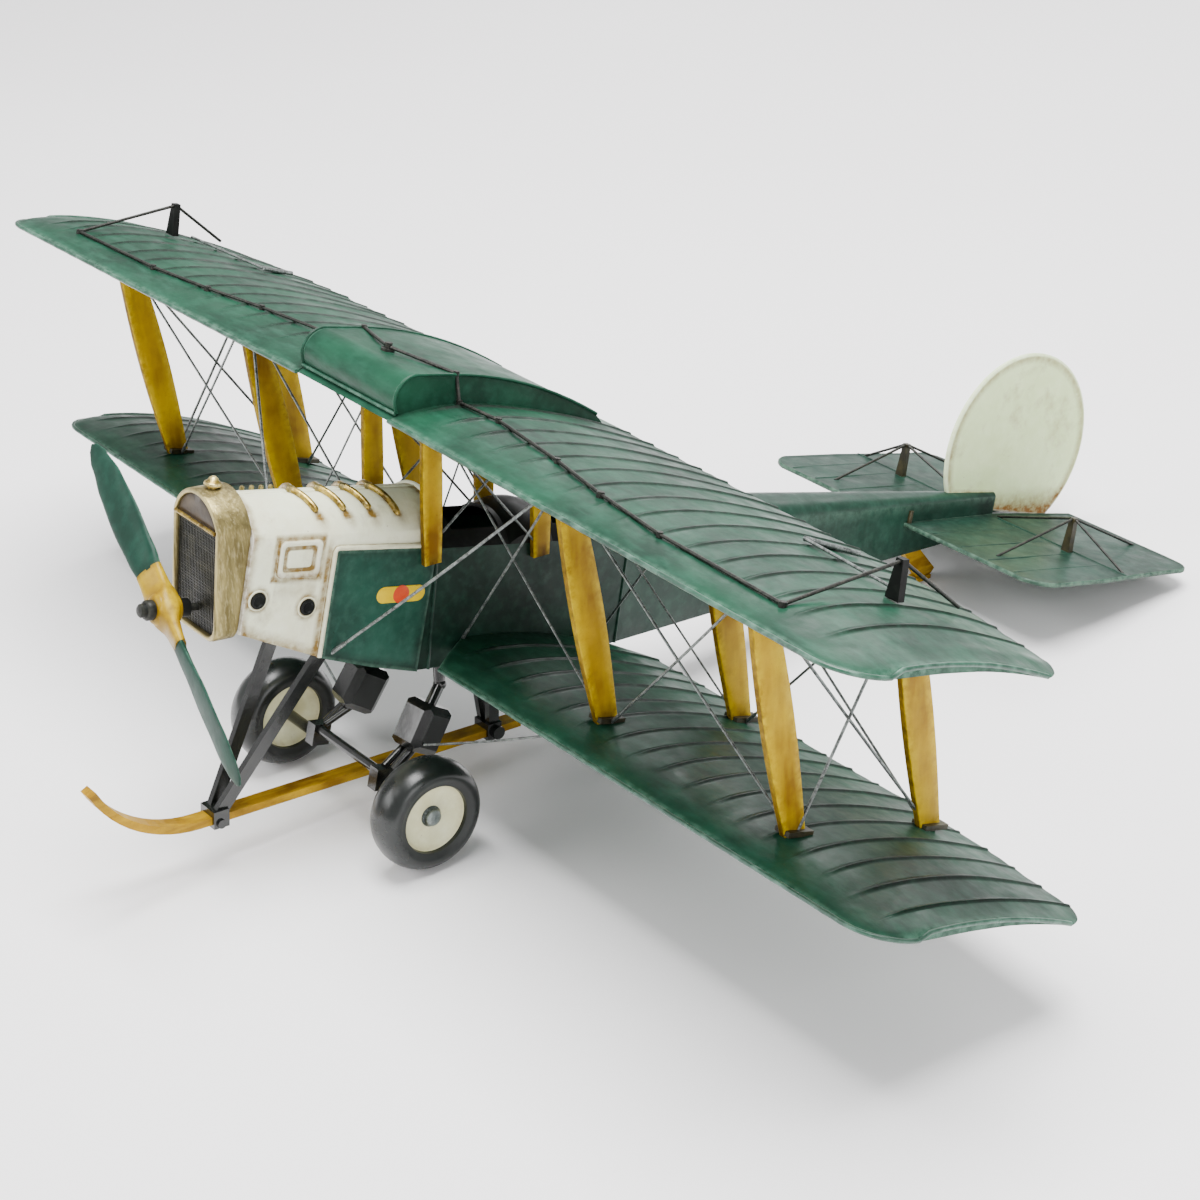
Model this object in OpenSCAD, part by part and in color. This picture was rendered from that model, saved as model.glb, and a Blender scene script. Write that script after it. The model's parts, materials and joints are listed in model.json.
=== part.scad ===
// Tin display model of a two-bay biplane with a central landing skid.
// Everything is drawn in the aeroplane's own axes (+X to port, +Y aft, +Z up, zero at the
// upper leading edge on the centre line), then tipped tail-down onto the ground by posed().

/* [Wings] */
// Half of the wing span
half_span = 230; // [224:1:236]
// Chord of the upper and lower wings
chord = 93; // [90:1:96]
// Distance of the lower leading edge behind the upper one
stagger = 33; // [31:1:35]
// Height of the upper leading edge above the lower one
wing_gap = 82.5; // [81:0.5:84]
// Nose-up setting of both wings, in degrees
incidence = 3.4; // [3:0.1:3.8]
// Upward slope of the lower wing towards its tip, in degrees
lower_dihedral = 0.6; // [0:0.1:1]
// Downward slope of the upper wing towards its tip, in degrees
upper_droop = 0.6; // [0:0.1:1]
// Radius of the wing tip's front corner
tip_front_r = 14; // [10:1:18]
// Radius of the wing tip's rear corner
tip_rear_r = 9; // [6:1:12]

/* [Centre section] */
// Half width of the raised centre section
centre_half = 26; // [24:1:28]
// Radius of its blunt nose
centre_nose_r = 7.5; // [6.5:0.5:8]
// Length of its raised back, from the leading edge
centre_len = 80; // [76:1:84]

/* [Struts and wires] */
// Distance of the inner struts from the centre line
inner_bay = 88; // [84:1:92]
// Distance of the outer struts from the centre line
outer_bay = 173.5; // [170:0.5:177]
// Front strut line, behind the leading edge
front_row = 19.5; // [18:0.5:22]
// Rear strut line, behind the leading edge
rear_row = 76; // [72:0.5:78]
// Strut width at its ends
strut_end_w = 7.5; // [6:0.5:9]
// Strut width at its middle
strut_mid_w = 11; // [9:0.5:13]
// Strut board thickness
strut_t = 2.4; // [2:0.1:3]
// Radius of the rigging wires
wire_r = 0.4; // [0.3:0.05:0.6]

/* [Fuselage] */
// Half width of the fuselage box
body_half = 14.8; // [14:0.1:15.4]
// Height of the deck's arch centre below the upper leading edge
arch_z = -45.3; // [-46:0.1:-44.5]
// Sheet thickness of the fuselage and cowl
skin_t = 1.2; // [1:0.1:1.5]
// Where the fuselage ends, behind the upper leading edge
body_end = 306; // [300:1:312]

/* [Nose] */
// Front face of the radiator
radiator_y = -45.5; // [-47:0.5:-44]
// Backward lean of the radiator's lower end, in degrees
radiator_lean = 7; // [5:0.5:8]
// Half width of the radiator
radiator_half = 13.4; // [13:0.1:14]
// Propeller radius
prop_r = 64; // [60:1:65]
// Propeller's place ahead of the upper leading edge
prop_y = -52; // [-53:0.5:-51.5]
// Height of the propeller shaft
prop_z = -66; // [-67:0.5:-65]
// Blade angle from upright, at rest
prop_angle = 56; // [0:1:90]

/* [Tail] */
// Half span of the tailplane
tail_half = 74; // [70:1:78]
// Front edge of the tailplane
tail_front = 255.5; // [253:0.5:258]
// Rear edge of the tailplane
tail_rear = 347; // [344:0.5:350]
// Height of the tailplane
tail_z = -52.8; // [-54:0.2:-52]
// Radius of the rudder disc
rudder_r = 38; // [36:0.5:39]

/* [Undercarriage] */
// Distance of each wheel's middle plane from the centre line
track_half = 42.5; // [41:0.5:44]
// Outer radius of the tyres
tyre_r = 18.6; // [18:0.1:19]
// Tyre section radius
tyre_section = 7.2; // [6.8:0.1:7.4]
// Axle position behind the upper leading edge
axle_y = 25.5; // [24:0.5:27]
// Height of the axle
axle_z = -123.9; // [-125:0.1:-123]
// Radius of the axle journals
journal_r = 1.2; // [1:0.05:1.4]
// Running clearance of the wheels and propeller shaft, on the radius
clearance = 0.05; // [0.03:0.01:0.08]
// Underside of the tail skid's shoe, behind the upper leading edge
shoe_y = 277; // [274:0.5:279]
// Height of that underside
shoe_z = -77.4; // [-78:0.1:-76]

/* [Hidden] */
$fn = 32;
port = 1;
starboard = -1;

// Tail-down attitude: the ground line touches the tyres and the tail skid's shoe.
reach = norm([shoe_y - axle_y, shoe_z - axle_z]);
attitude = atan2(shoe_z - axle_z, shoe_y - axle_y) + asin(tyre_r / reach);
ground = tyre_r + axle_y * sin(attitude) - axle_z * cos(attitude);

// The landing skid: a straight run that bends up to its tip. Points are (y, z).
skid_slope = 10.3;
skid_bend = [-37.4, -97.7];
skid_r = 41.6;
skid_t = 2.6;
skid_tip = -141;
rudder_y = 315;
rudder_z = -26.3;

// Moves the middle of the whole length, from the skid's tip to the rudder, onto the origin.
tip = skid_bend + (skid_r + skid_t / 2) * [cos(skid_tip), sin(skid_tip)];
front_reach = tip.x * cos(attitude) + tip.y * sin(attitude);
rear_reach = rudder_y * cos(attitude) + rudder_z * sin(attitude) + rudder_r;
centre_shift = -(front_reach + rear_reach) / 2;

// Wing section: a four-digit aerofoil with this camber and thickness, as parts of the chord.
camber = 0.055;
camber_at = 0.4;
thickness = 0.055;
section_steps = 14;
// The section runs past the trailing edge, so that the edge keeps a sheet's thickness.
section_chord = chord + 4;

// Colours
green = [0.13, 0.33, 0.27];
ochre = [0.72, 0.52, 0.12];
cream = [0.87, 0.87, 0.76];
brass = [0.55, 0.48, 0.28];
black = [0.08, 0.08, 0.09];
grey = [0.45, 0.47, 0.46];

function mean_line(s) = s < camber_at
    ? camber / pow(camber_at, 2) * (2 * camber_at * s - s * s)
    : camber / pow(1 - camber_at, 2) * (1 - 2 * camber_at + 2 * camber_at * s - s * s);
function half_depth(s) = 5 * thickness
    * (0.2969 * sqrt(s) - 0.126 * s - 0.3516 * s * s + 0.2843 * pow(s, 3) - 0.0986 * pow(s, 4));
function top_line(s) = mean_line(s) + half_depth(s);
function bottom_line(s) = mean_line(s) - half_depth(s);
function section(c) = concat(
    [for (i = [0:section_steps]) let (s = pow(i / section_steps, 1.6)) c * [s, top_line(s)]],
    [for (i = [section_steps:-1:1]) let (s = pow(i / section_steps, 1.6)) c * [s, bottom_line(s)]]);
function arc(x, y, r, from, to, steps = 8) =
    [for (i = [0:steps]) let (a = from + (to - from) * i / steps) [x + r * cos(a), y + r * sin(a)]];

// Heights on the wings, at a distance x out and y behind the upper leading edge
function upper_chord_z(x, y) =
    -y * tan(incidence) - max(abs(x) - centre_half, 0) * tan(upper_droop);
function lower_chord_z(x, y) =
    -wing_gap - (y - stagger) * tan(incidence) + abs(x) * tan(lower_dihedral);
function upper_bottom_z(x, y) =
    upper_chord_z(x, y) + section_chord * bottom_line(y / section_chord);
function upper_top_z(x, y) =
    upper_chord_z(x, y) + section_chord * top_line(y / section_chord);
function lower_top_z(x, y) =
    lower_chord_z(x, y) + section_chord * top_line((y - stagger) / section_chord);

module posed() {
    translate([0, centre_shift, ground]) rotate([-attitude, 0, 0]) children();
}
module on_side(side) {
    if (side == port) children();
    else mirror([1, 0, 0]) children();
}
module both_sides() {
    for (side = [port, starboard]) on_side(side) children();
}
// Extrudes a (y, z) outline along X, from x0 to x1.
module side_extrude(x0, x1) {
    translate([x0, 0, 0]) rotate([90, 0, 90]) linear_extrude(height = x1 - x0) children();
}
// Extrudes an (x, z) outline along Y, from y0 to y1.
module front_extrude(y0, y1) {
    translate([0, y1, 0]) rotate([90, 0, 0]) linear_extrude(height = y1 - y0) children();
}
// A round rod from point a to point b
module rod(a, b, r) {
    d = b - a;
    translate(a) rotate([0, acos(d.z / norm(d)), atan2(d.y, d.x)])
        cylinder(h = norm(d), r = r);
}
// A flat bar from a to b, w wide along Y and t thick
module bar(a, b, w, t) {
    d = b - a;
    lean = atan2(d.x, norm([d.y, d.z]));
    translate(a) rotate([atan2(-d.y, d.z), 0, 0]) rotate([0, lean, 0])
        translate([-t / 2, -w / 2, 0]) cube([t, w, norm(d)]);
}
// A solid box with every edge chamfered by c, centred
module chamfer_box(size, c) {
    intersection() {
        linear_extrude(height = size.z, center = true) chamfer_square(size.x, size.y, c);
        rotate([90, 0, 0])
            linear_extrude(height = size.y, center = true) chamfer_square(size.x, size.z, c);
        rotate([90, 0, 90])
            linear_extrude(height = size.x, center = true) chamfer_square(size.y, size.z, c);
    }
}
module chamfer_square(w, h, c) {
    polygon([[-w / 2 + c, -h / 2], [w / 2 - c, -h / 2], [w / 2, -h / 2 + c], [w / 2, h / 2 - c],
        [w / 2 - c, h / 2], [-w / 2 + c, h / 2], [-w / 2, h / 2 - c], [-w / 2, -h / 2 + c]]);
}
// A rectangle with rounded corners, from its lower left corner
module rounded_rect(w, h, r) {
    translate([r, 0]) square([w - 2 * r, h]);
    translate([0, r]) square([w, h - 2 * r]);
    for (x = [r, w - r], y = [r, h - r]) translate([x, y]) circle(r = r);
}

// ---------- Wings ----------
module wing_set() {
    rotate([-incidence, 0, 0]) children();
}
// Outline of one wing half, its leading edge on y = 0, with a rounded tip
module wing_outline(root) {
    side = half_span;
    polygon(concat([[root, chord]], [[root, 0]],
        arc(side - tip_front_r, tip_front_r, tip_front_r, -90, 0),
        arc(side - tip_rear_r, chord + 4 - tip_rear_r, tip_rear_r, 0, 75),
        [[side - 25, chord]]));
}
module wing_half(root) {
    intersection() {
        side_extrude(root, half_span) polygon(section(section_chord));
        translate([0, 0, -10]) linear_extrude(height = 30) children();
    }
}
module upper_wing() {
    color(green) wing_set() translate([centre_half, 0, 0]) rotate([0, upper_droop, 0])
        translate([-centre_half, 0, 0]) wing_half(centre_half) wing_outline(centre_half);
}
module upper_wing_left() { upper_wing(); }
module upper_wing_right() { on_side(starboard) upper_wing(); }

// The lower wing's root is cut back at both corners, so it meets the fuselage only amidships.
root_front = 17;
root_rear = 70;
module lower_wing() {
    color(green) translate([0, stagger, -wing_gap]) wing_set() rotate([0, -lower_dihedral, 0])
        wing_half(body_half) difference() {
            wing_outline(body_half);
            polygon([[0, -1], [28, -1], [body_half, root_front], [0, root_front]]);
            polygon([[0, root_rear], [body_half, root_rear], [25, chord + 5], [0, chord + 5]]);
        }
}
module lower_wing_left() { lower_wing(); }
module lower_wing_right() { on_side(starboard) lower_wing(); }

// The centre section carries a blunt tank whose back falls away in a parabola.
tank_top = 14.3;
tank_fall = 0.0038;
tank_flat = 20;
function tank_back(y) = tank_top - tank_fall * pow(max(y - tank_flat, 0), 2);
function tank_under(y) = upper_chord_z(0, y) + section_chord * bottom_line(y / section_chord);
module centre_section() {
    color(green) side_extrude(-centre_half, centre_half) polygon(concat(
        arc(centre_nose_r + 1, tank_top - centre_nose_r, centre_nose_r, 215, 90, 16),
        [for (i = [1:14]) let (y = centre_nose_r + 1 + (centre_len - centre_nose_r) * i / 14)
            [y, tank_back(y)]],
        [[centre_len + 4, upper_chord_z(0, centre_len + 4) + 3], [chord, tank_under(chord) + 0.8]],
        [for (i = [section_steps:-1:0]) let (y = chord * pow(i / section_steps, 1.6))
            [y, tank_under(y)]]));
}

// ---------- Struts ----------
board_steps = 8;
function between(a, b, t) = a + (b - a) * t;
// Side outline of a strut board from a to b in (y, z), widest at its middle
function board_outline(a, b, w0, w1) =
    let (d = (b - a) / norm(b - a), n = [-d.y, d.x])
    concat(
        [for (i = [0:board_steps]) let (t = i / board_steps)
            between(a, b, t) + n * (w0 + (w1 - w0) * sin(180 * t)) / 2],
        [for (i = [board_steps:-1:0]) let (t = i / board_steps)
            between(a, b, t) - n * (w0 + (w1 - w0) * sin(180 * t)) / 2]);
embed = 0.8;
module interplane_strut(x, row) {
    top = [row, upper_bottom_z(x, row) + embed];
    foot = [stagger + row, lower_top_z(x, stagger + row) - embed];
    color(ochre) side_extrude(x - strut_t / 2, x + strut_t / 2)
        polygon(board_outline(foot, top, strut_end_w, strut_mid_w));
}
module strut_left_inner_front() { interplane_strut(inner_bay, front_row); }
module strut_left_inner_rear() { interplane_strut(inner_bay, rear_row); }
module strut_left_outer_front() { interplane_strut(outer_bay, front_row); }
module strut_left_outer_rear() { interplane_strut(outer_bay, rear_row); }
module strut_right_inner_front() { on_side(starboard) strut_left_inner_front(); }
module strut_right_inner_rear() { on_side(starboard) strut_left_inner_rear(); }
module strut_right_outer_front() { on_side(starboard) strut_left_outer_front(); }
module strut_right_outer_rear() { on_side(starboard) strut_left_outer_rear(); }

// Cabane boards stand on the fuselage sides and carry the centre section.
panel_t = 0.8;
cabane_w = 6.4;
cabane_front = [31.8, 21.6];
cabane_rear = [75.5, 66];
cabane_foot_z = -50.5;
module cabane_board(x0, feet) {
    foot = [feet[0], cabane_foot_z];
    top = [feet[1], upper_bottom_z(0, feet[1]) + embed];
    color(ochre) side_extrude(x0, x0 + 2.2) polygon(board_outline(foot, top, cabane_w, cabane_w + 1));
}
module cabane_struts_left() {
    cabane_board(body_half + panel_t, cabane_front);
    cabane_board(body_half, cabane_rear);
}
module cabane_struts_right() { on_side(starboard) cabane_struts_left(); }

// Flat sockets at both ends of each interplane strut
fitting = [6, 9.5, 1.6];
module fitting_at(x, y, z) {
    translate([x, y, z]) rotate([-incidence, 0, 0]) cube(fitting, center = true);
}
module strut_fittings() {
    color(black) both_sides() for (x = [inner_bay, outer_bay], row = [front_row, rear_row]) {
        fitting_at(x, row, upper_bottom_z(x, row) - 0.3);
        fitting_at(x, stagger + row, lower_top_z(x, stagger + row) + 0.3);
    }
}

// ---------- Rigging ----------
wire_out = 2.4;
function upper_pin(x, row, dx) = [x + dx, row, upper_bottom_z(x, row) - 0.4];
function lower_pin(x, row, dx) = [x + dx, stagger + row, lower_top_z(x, stagger + row) + 0.4];
module wire(a, b, r = wire_r) { rod(a, b, r, $fn = 16); }
module rigging() {
    color(grey) {
        for (row = [front_row, rear_row]) {
            wire(upper_pin(inner_bay, row, wire_out), lower_pin(outer_bay, row, -wire_out));
            wire(lower_pin(inner_bay, row, wire_out), upper_pin(outer_bay, row, -wire_out));
        }
        wire([17.2, 23.5, -2], lower_pin(inner_bay, front_row, -wire_out));
        wire([16.6, 67, -4.5], lower_pin(inner_bay, rear_row, -wire_out));
        wire(upper_pin(inner_bay, front_row, -wire_out), [body_half - 0.4, 0, -79.4]);
        wire(upper_pin(inner_bay, front_row, -wire_out), [body_half - 0.4, 50.7, -78.6]);
        wire(upper_pin(inner_bay, rear_row, -wire_out), [body_half - 0.4, 108, -81]);
        for (dx = [-1.6, 1.6]) {
            wire(upper_pin(outer_bay, front_row, dx), lower_pin(outer_bay, rear_row, dx));
            wire(lower_pin(outer_bay, front_row, -dx), upper_pin(outer_bay, rear_row, -dx));
        }
        wire([20, 34, -111.5], [86, stagger + 2.5, lower_chord_z(86, stagger + 2.5) + 0.8]);
    }
}
module rigging_left() { rigging(); }
module rigging_right() { on_side(starboard) rigging(); }
// Crossed wires between the cabane boards of each side
module centre_wires() {
    color(grey) both_sides() {
        wire([16.2, 33, -42], [16.2, 65, -5]);
        wire([16.2, 72.6, -46], [16.2, 24, -5]);
    }
}

// ---------- Aileron controls ----------
horn_x = 194;
horn_y = 50;
horn_top = 11;
cable_r = 0.55;
function on_skin(x, y) = [x, y, upper_top_z(x, y) + 0.3];
cable_path = [[28, 23.5], [46, 25.5], [82, 20.5], [109, 15.5], [140, 12], [192, 11]];
// A stretch of cable that stops short of its two clips' centres
module cable(a, b) {
    d = (b - a) / norm(b - a);
    wire(a + 0.3 * d, b - 0.3 * d, cable_r);
}
module clip(p) { translate(p - [0, 0, 0.8]) cylinder(r = cable_r + 0.4, h = 1.6, $fn = 16); }
module aileron_cable() {
    end = on_skin(cable_path[len(cable_path) - 1].x, cable_path[len(cable_path) - 1].y);
    tank_end = [centre_half - 0.4, 22.5, tank_top + 0.2];
    horn = on_skin(horn_x, horn_y) + [0, 0, horn_top - 1];
    color(black) {
        wire([1.5, 14.5, tank_top + 1.4], tank_end, cable_r);
        clip(tank_end);
        cable(tank_end, on_skin(cable_path[0].x, cable_path[0].y));
        for (i = [1:len(cable_path) - 1])
            cable(on_skin(cable_path[i - 1].x, cable_path[i - 1].y),
                on_skin(cable_path[i].x, cable_path[i].y));
        for (p = cable_path) clip(on_skin(p.x, p.y));
        cable(end, horn);
        cable(horn, on_skin(197, 73));
    }
}
module aileron_cable_left() { aileron_cable(); }
module aileron_cable_right() { on_side(starboard) aileron_cable(); }
module aileron_horns() {
    color(black) both_sides() translate(on_skin(horn_x, horn_y) - [0, 0, 1])
        rotate([90, 0, 0]) linear_extrude(height = 2.4, center = true)
            polygon([[-2.6, 0], [2.6, 0], [1.3, horn_top + 0.6], [-1.3, horn_top + 0.6]]);
}
// Hinge rod and edge strip at the inner end of each aileron
module aileron_rods() {
    color(black) both_sides() {
        wire(on_skin(146.6, 60.4), on_skin(190, 56), 0.5);
        wire(on_skin(146.6, 60.4), on_skin(153, 77), 0.8);
    }
}
module cable_pulleys() {
    color(black) {
        translate([0, 14.5, tank_top - 0.6]) cylinder(r = 2.2, h = 1.4);
        translate([0, 14.5, tank_top]) cylinder(r = 1.2, h = 2.6);
        both_sides() for (p = [cable_path[3], cable_path[5]])
            translate(on_skin(p.x, p.y) - [0, 0, 1]) cylinder(r = 1.2, h = 1.7);
    }
}

// ---------- Fuselage ----------
body_front = 34;
knee_y = 113;
arch_r = 17.1;
deck_top = -38.2;
deck_edge = -46.5;
tail_half_w = 2.4;
tail_slope = 1.75;
// Aft of this the fuselage is too thin to be hollow.
solid_tail_y = 240;
body_bottom = [[-34, -70.4], [-4.5, -80], [15.7, -84.8], [body_front, -88]];
// The fuselage aft of the cowl, shrunk by t on every side but the top of the open part
module fuselage_solid(t) {
    intersection() {
        side_extrude(-body_half, body_half) polygon([[body_front + t, deck_edge + (t > 0 ? 1 : 0)],
            [knee_y, deck_edge + (t > 0 ? 1 : 0)], [knee_y, 0], [body_end - 4 * t, 0],
            [body_end + 2 - 4 * t, -59.3 + t], [257, -65.6 + t], [knee_y, -85.5 + t],
            [body_front + t, -88 + t]]);
        translate([0, 0, -100]) linear_extrude(height = 100)
            polygon([[-body_half + t, 0], [body_half - t, 0], [body_half - t, knee_y],
                [tail_half_w - t, body_end + 3], [t - tail_half_w, body_end + 3],
                [-body_half + t, knee_y]]);
        translate([0, knee_y, deck_top - arch_r]) rotate([-tail_slope, 0, 0]) {
            rotate([-90, 0, 0]) translate([0, 0, -100]) cylinder(r = arch_r - t, h = 320, $fn = 64);
            translate([-20, -100, -60]) cube([40, 320, 60]);
        }
    }
}
module fuselage_shell() {
    color(green) difference() {
        fuselage_solid(0);
        difference() {
            fuselage_solid(skin_t);
            translate([-20, solid_tail_y, -100]) cube([40, 110, 100]);
        }
    }
}
// Black decking over the open bay, with two cockpits and the hump between them
front_well = [42, 61];
rear_well = [83, 104];
well_half = 10.5;
hump_y = 72;
module cockpit_cut(well) {
    translate([-well_half, well[0], deck_edge - 5]) cube([2 * well_half, well[1] - well[0], 30]);
}
module mid_deck() {
    color(black) difference() {
        intersection() {
            translate([-body_half, body_front, deck_edge]) cube([2 * body_half, knee_y - body_front, 20]);
            union() {
                translate([0, body_front, deck_top - arch_r]) rotate([-90, 0, 0])
                    cylinder(r = arch_r, h = knee_y - body_front, $fn = 64);
                translate([0, hump_y, deck_top - arch_r]) sphere(r = arch_r + 2.2, $fn = 48);
            }
        }
        translate([0, body_front + 1.5, deck_top - arch_r]) rotate([-90, 0, 0])
            cylinder(r = arch_r - skin_t, h = knee_y - body_front - 3, $fn = 64);
        cockpit_cut(front_well);
        cockpit_cut(rear_well);
    }
}
module seat_at(y) {
    half = body_half - skin_t;
    translate([-half, y - 12, -69]) cube([2 * half, 13, 1.6]);
    translate([-9, y - 0.6, -67.4]) cube([18, 1.6, 17]);
}
module cockpit_seats() {
    color([0.35, 0.2, 0.1]) {
        seat_at(front_well[1] - 3);
        seat_at(rear_well[1] - 3);
    }
}

// ---------- Cowl and radiator ----------
cowl_r = 16.1;
cowl_axis_z = -46.4;
cowl_front = -34;
bush_r = 2.6;
shaft_r = 1.2;
collar_y = -31.8;
module cowl_solid(t) {
    intersection() {
        side_extrude(-body_half + t, body_half - t)
            polygon(concat([[body_front, 0], [cowl_front + t, 0]],
                [for (p = body_bottom) [max(p.x, cowl_front + t), p.y + t]]));
        union() {
            translate([0, cowl_front, cowl_axis_z]) rotate([-90, 0, 0])
                cylinder(r = cowl_r - t, h = body_front - cowl_front, $fn = 64);
            translate([-20, cowl_front, -95]) cube([40, body_front - cowl_front, 95 + cowl_axis_z]);
        }
    }
}
module shaft_line(r, y0, y1) {
    translate([0, y0, prop_z]) rotate([-90, 0, 0]) cylinder(r = r, h = y1 - y0);
}
module engine_cowl() {
    color(cream) difference() {
        cowl_solid(0);
        cowl_solid(skin_t);
        shaft_line(bush_r, cowl_front - 2, cowl_front + 4);
    }
}
// Green plates on the lower sides of the cowl, framed by a raised bead
panel_front = -3.6;
panel_top = -44.6;
module panel() {
    color(green) side_extrude(body_half, body_half + panel_t)
        polygon([[panel_front, panel_top], [body_front, panel_top - 1], [body_front, -87.9],
            [15.7, -84.7], [panel_front, -80.1]]);
}
module side_panel_left() { panel(); }
module side_panel_right() { on_side(starboard) panel(); }
bead = 1.3;
module panel_beading() {
    color(cream) {
        both_sides() side_extrude(body_half, body_half + 1.3)
            polygon([[panel_front - bead, panel_top + bead], [body_front, panel_top - 1 + bead],
                [body_front, panel_top - 1], [panel_front, panel_top], [panel_front, -80.1],
                [panel_front - bead, -79.8]]);
        intersection() {
            translate([0, body_front - 2, cowl_axis_z]) rotate([-90, 0, 0]) difference() {
                cylinder(r = cowl_r + 0.7, h = 2, $fn = 64);
                translate([0, 0, -1]) cylinder(r = cowl_r, h = 4, $fn = 64);
            }
            translate([-body_half, body_front - 3, cowl_axis_z]) cube([2 * body_half, 4, 20]);
        }
    }
}
hatch = [15.3, 12.1];
module cowl_hatches() {
    color(cream) both_sides() translate([body_half, -24.3, -52.7]) rotate([90, 0, 90]) {
        linear_extrude(height = 0.8) difference() {
            rounded_rect(hatch.x, hatch.y, 2);
            translate([1.8, 1.8]) rounded_rect(hatch.x - 3.6, hatch.y - 3.6, 1);
        }
        linear_extrude(height = 0.5) translate([3.2, 3.2]) square(hatch - [6.4, 6.4]);
    }
}
module exhaust_ports() {
    color(black) both_sides() for (p = [[-29.4, -59.4], [-11.4, -62.7]])
        translate([body_half, p.x, p.y]) rotate([0, 90, 0]) cylinder(r = 2.6, h = 0.9);
}
// Brass tubes lying diagonally over the top of the cowl, and a row of studs ahead of them
hoop_r = 1.05;
hoop_arc_r = 17.2;
hoop_span = 40;
hoop_yaw = 20;
hoop_tops = [-13.6, -3.5, 5.7, 15];
module cowl_hoops() {
    color(brass) {
        both_sides() for (y = hoop_tops) translate([0, y, cowl_axis_z + cowl_r + 0.7 - hoop_arc_r])
            rotate([90, 0, -hoop_yaw]) rotate([0, 0, 90 - hoop_span])
                rotate_extrude(angle = hoop_span - 2) translate([hoop_arc_r, 0]) circle(r = hoop_r);
        for (y = hoop_tops) translate([0, y, cowl_axis_z + cowl_r - 1])
            cylinder(r = 1.4, h = 2.6);
        for (i = [0:3]) translate([-6, -27 + 3.4 * i, cowl_axis_z + cowl_r - 2.5])
            cylinder(r = 0.8, h = 4);
    }
}
radiator_bottom = -74.3;
radiator_arch_r = 14.2;
radiator_arch_z = -42.7;
radiator_corner = 5;
frame_w = 1.7;
bar_z = -39;
module radiator_face(t) {
    w = radiator_half - t;
    low = radiator_bottom + t;
    r = radiator_corner - t / 2;
    intersection() {
        translate([0, radiator_arch_z]) circle(r = radiator_arch_r - t, $fn = 64);
        translate([-w, radiator_arch_z]) square([2 * w, 20]);
    }
    translate([-w, low + r]) square([2 * w, radiator_arch_z - low - r]);
    translate([-w + r, low]) square([2 * w - 2 * r, 2 * r]);
    for (x = [-w + r, w - r]) translate([x, low + r]) circle(r = r);
}
module leaned() {
    intersection() {
        translate([0, radiator_y, bar_z]) rotate([radiator_lean, 0, 0])
            translate([0, -radiator_y, -bar_z]) children();
        translate([-30, cowl_front - 30, -100]) cube([60, 30, 90]);
    }
}
module radiator_shell() {
    color(brass) difference() {
        leaned() difference() {
            front_extrude(radiator_y, cowl_front + 8) radiator_face(0);
            front_extrude(radiator_y - 1, radiator_y + 3.5) radiator_face(frame_w);
        }
        shaft_line(bush_r, radiator_y - 5, cowl_front + 5);
    }
}
module radiator_core() {
    color(black) difference() {
        leaned() front_extrude(radiator_y + 1.2, radiator_y + 3.5) intersection() {
            radiator_face(frame_w);
            translate([-20, -90]) square([40, 90 + bar_z]);
        }
        shaft_line(bush_r, radiator_y - 5, cowl_front + 5);
    }
}
module header_tank() {
    color(brass) leaned() {
        front_extrude(radiator_y + 0.8, radiator_y + 3.5) intersection() {
            radiator_face(frame_w);
            translate([-20, bar_z]) square([40, 30]);
        }
        translate([-radiator_half + frame_w + 0.1, radiator_y - 0.2, bar_z])
            cube([2 * (radiator_half - frame_w - 0.1), 1, 0.9]);
    }
}
module filler_cap() {
    color(brass) translate([0, -41.2, -29.2]) {
        cylinder(r = 1.9, h = 2);
        translate([0, 0, 2]) cylinder(r = 2.7, h = 1.2);
        translate([0, 0, 3]) sphere(r = 1.6);
    }
}

// ---------- Propeller ----------
boss_reach = 14;
blade_pitch = 16;
blade_t = 1.7;
boss_back = 3.7;
boss_front = 4.2;
blade_w = 12.6;
module prop_frame() {
    translate([0, prop_y, prop_z]) rotate([0, -prop_angle, 0]) children();
}
// Blade outline from the boss to a rounded tip; u runs along the blade
module blade_plan() {
    tip_r = 4.2;
    polygon(concat([[boss_reach, -4.2], [boss_reach + 12, -blade_w / 2 + 0.6],
        [boss_reach + 22, -blade_w / 2], [boss_reach + 34, -blade_w / 2 + 0.5]],
        arc(prop_r - tip_r, -0.6, tip_r, -70, 80),
        [[boss_reach + 34, blade_w / 2 - 1], [boss_reach + 22, blade_w / 2],
            [boss_reach + 12, blade_w / 2 - 0.6], [boss_reach, 4.2]]));
}
module pitched() {
    for (a = [0, 180]) rotate([0, a, 0]) rotate([0, -90, 0])
        rotate([blade_pitch + 90, 0, 0]) children();
}
module prop_blades() {
    color(green) prop_frame() pitched()
        linear_extrude(height = blade_t, center = true) blade_plan();
}
module prop_boss() {
    color(ochre) prop_frame() difference() {
        union() {
            translate([0, boss_back, 0]) rotate([90, 0, 0])
                cylinder(r = 5.2, h = boss_back + boss_front);
            pitched() linear_extrude(height = 3.4, center = true)
                polygon([[0, -5], [boss_reach, -4.4], [boss_reach, 4.4], [0, 5]]);
        }
        rotate([90, 0, 0]) cylinder(r = shaft_r, h = 30, center = true);
    }
}
module prop_nut() {
    color(black) prop_frame() translate([0, -boss_front, 0]) rotate([90, 0, 0]) difference() {
        union() {
            cylinder(r = 2.9, h = 3.4);
            cylinder(r = 2.2, h = 4.6);
        }
        translate([0, 0, -1]) cylinder(r = shaft_r, h = 3.6);
    }
}
module prop_shaft() {
    color(grey) {
        shaft_line(shaft_r, prop_y - boss_front - 2.6, collar_y + 1.6);
        shaft_line(2.2, collar_y, collar_y + 1.6);
    }
}
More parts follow.
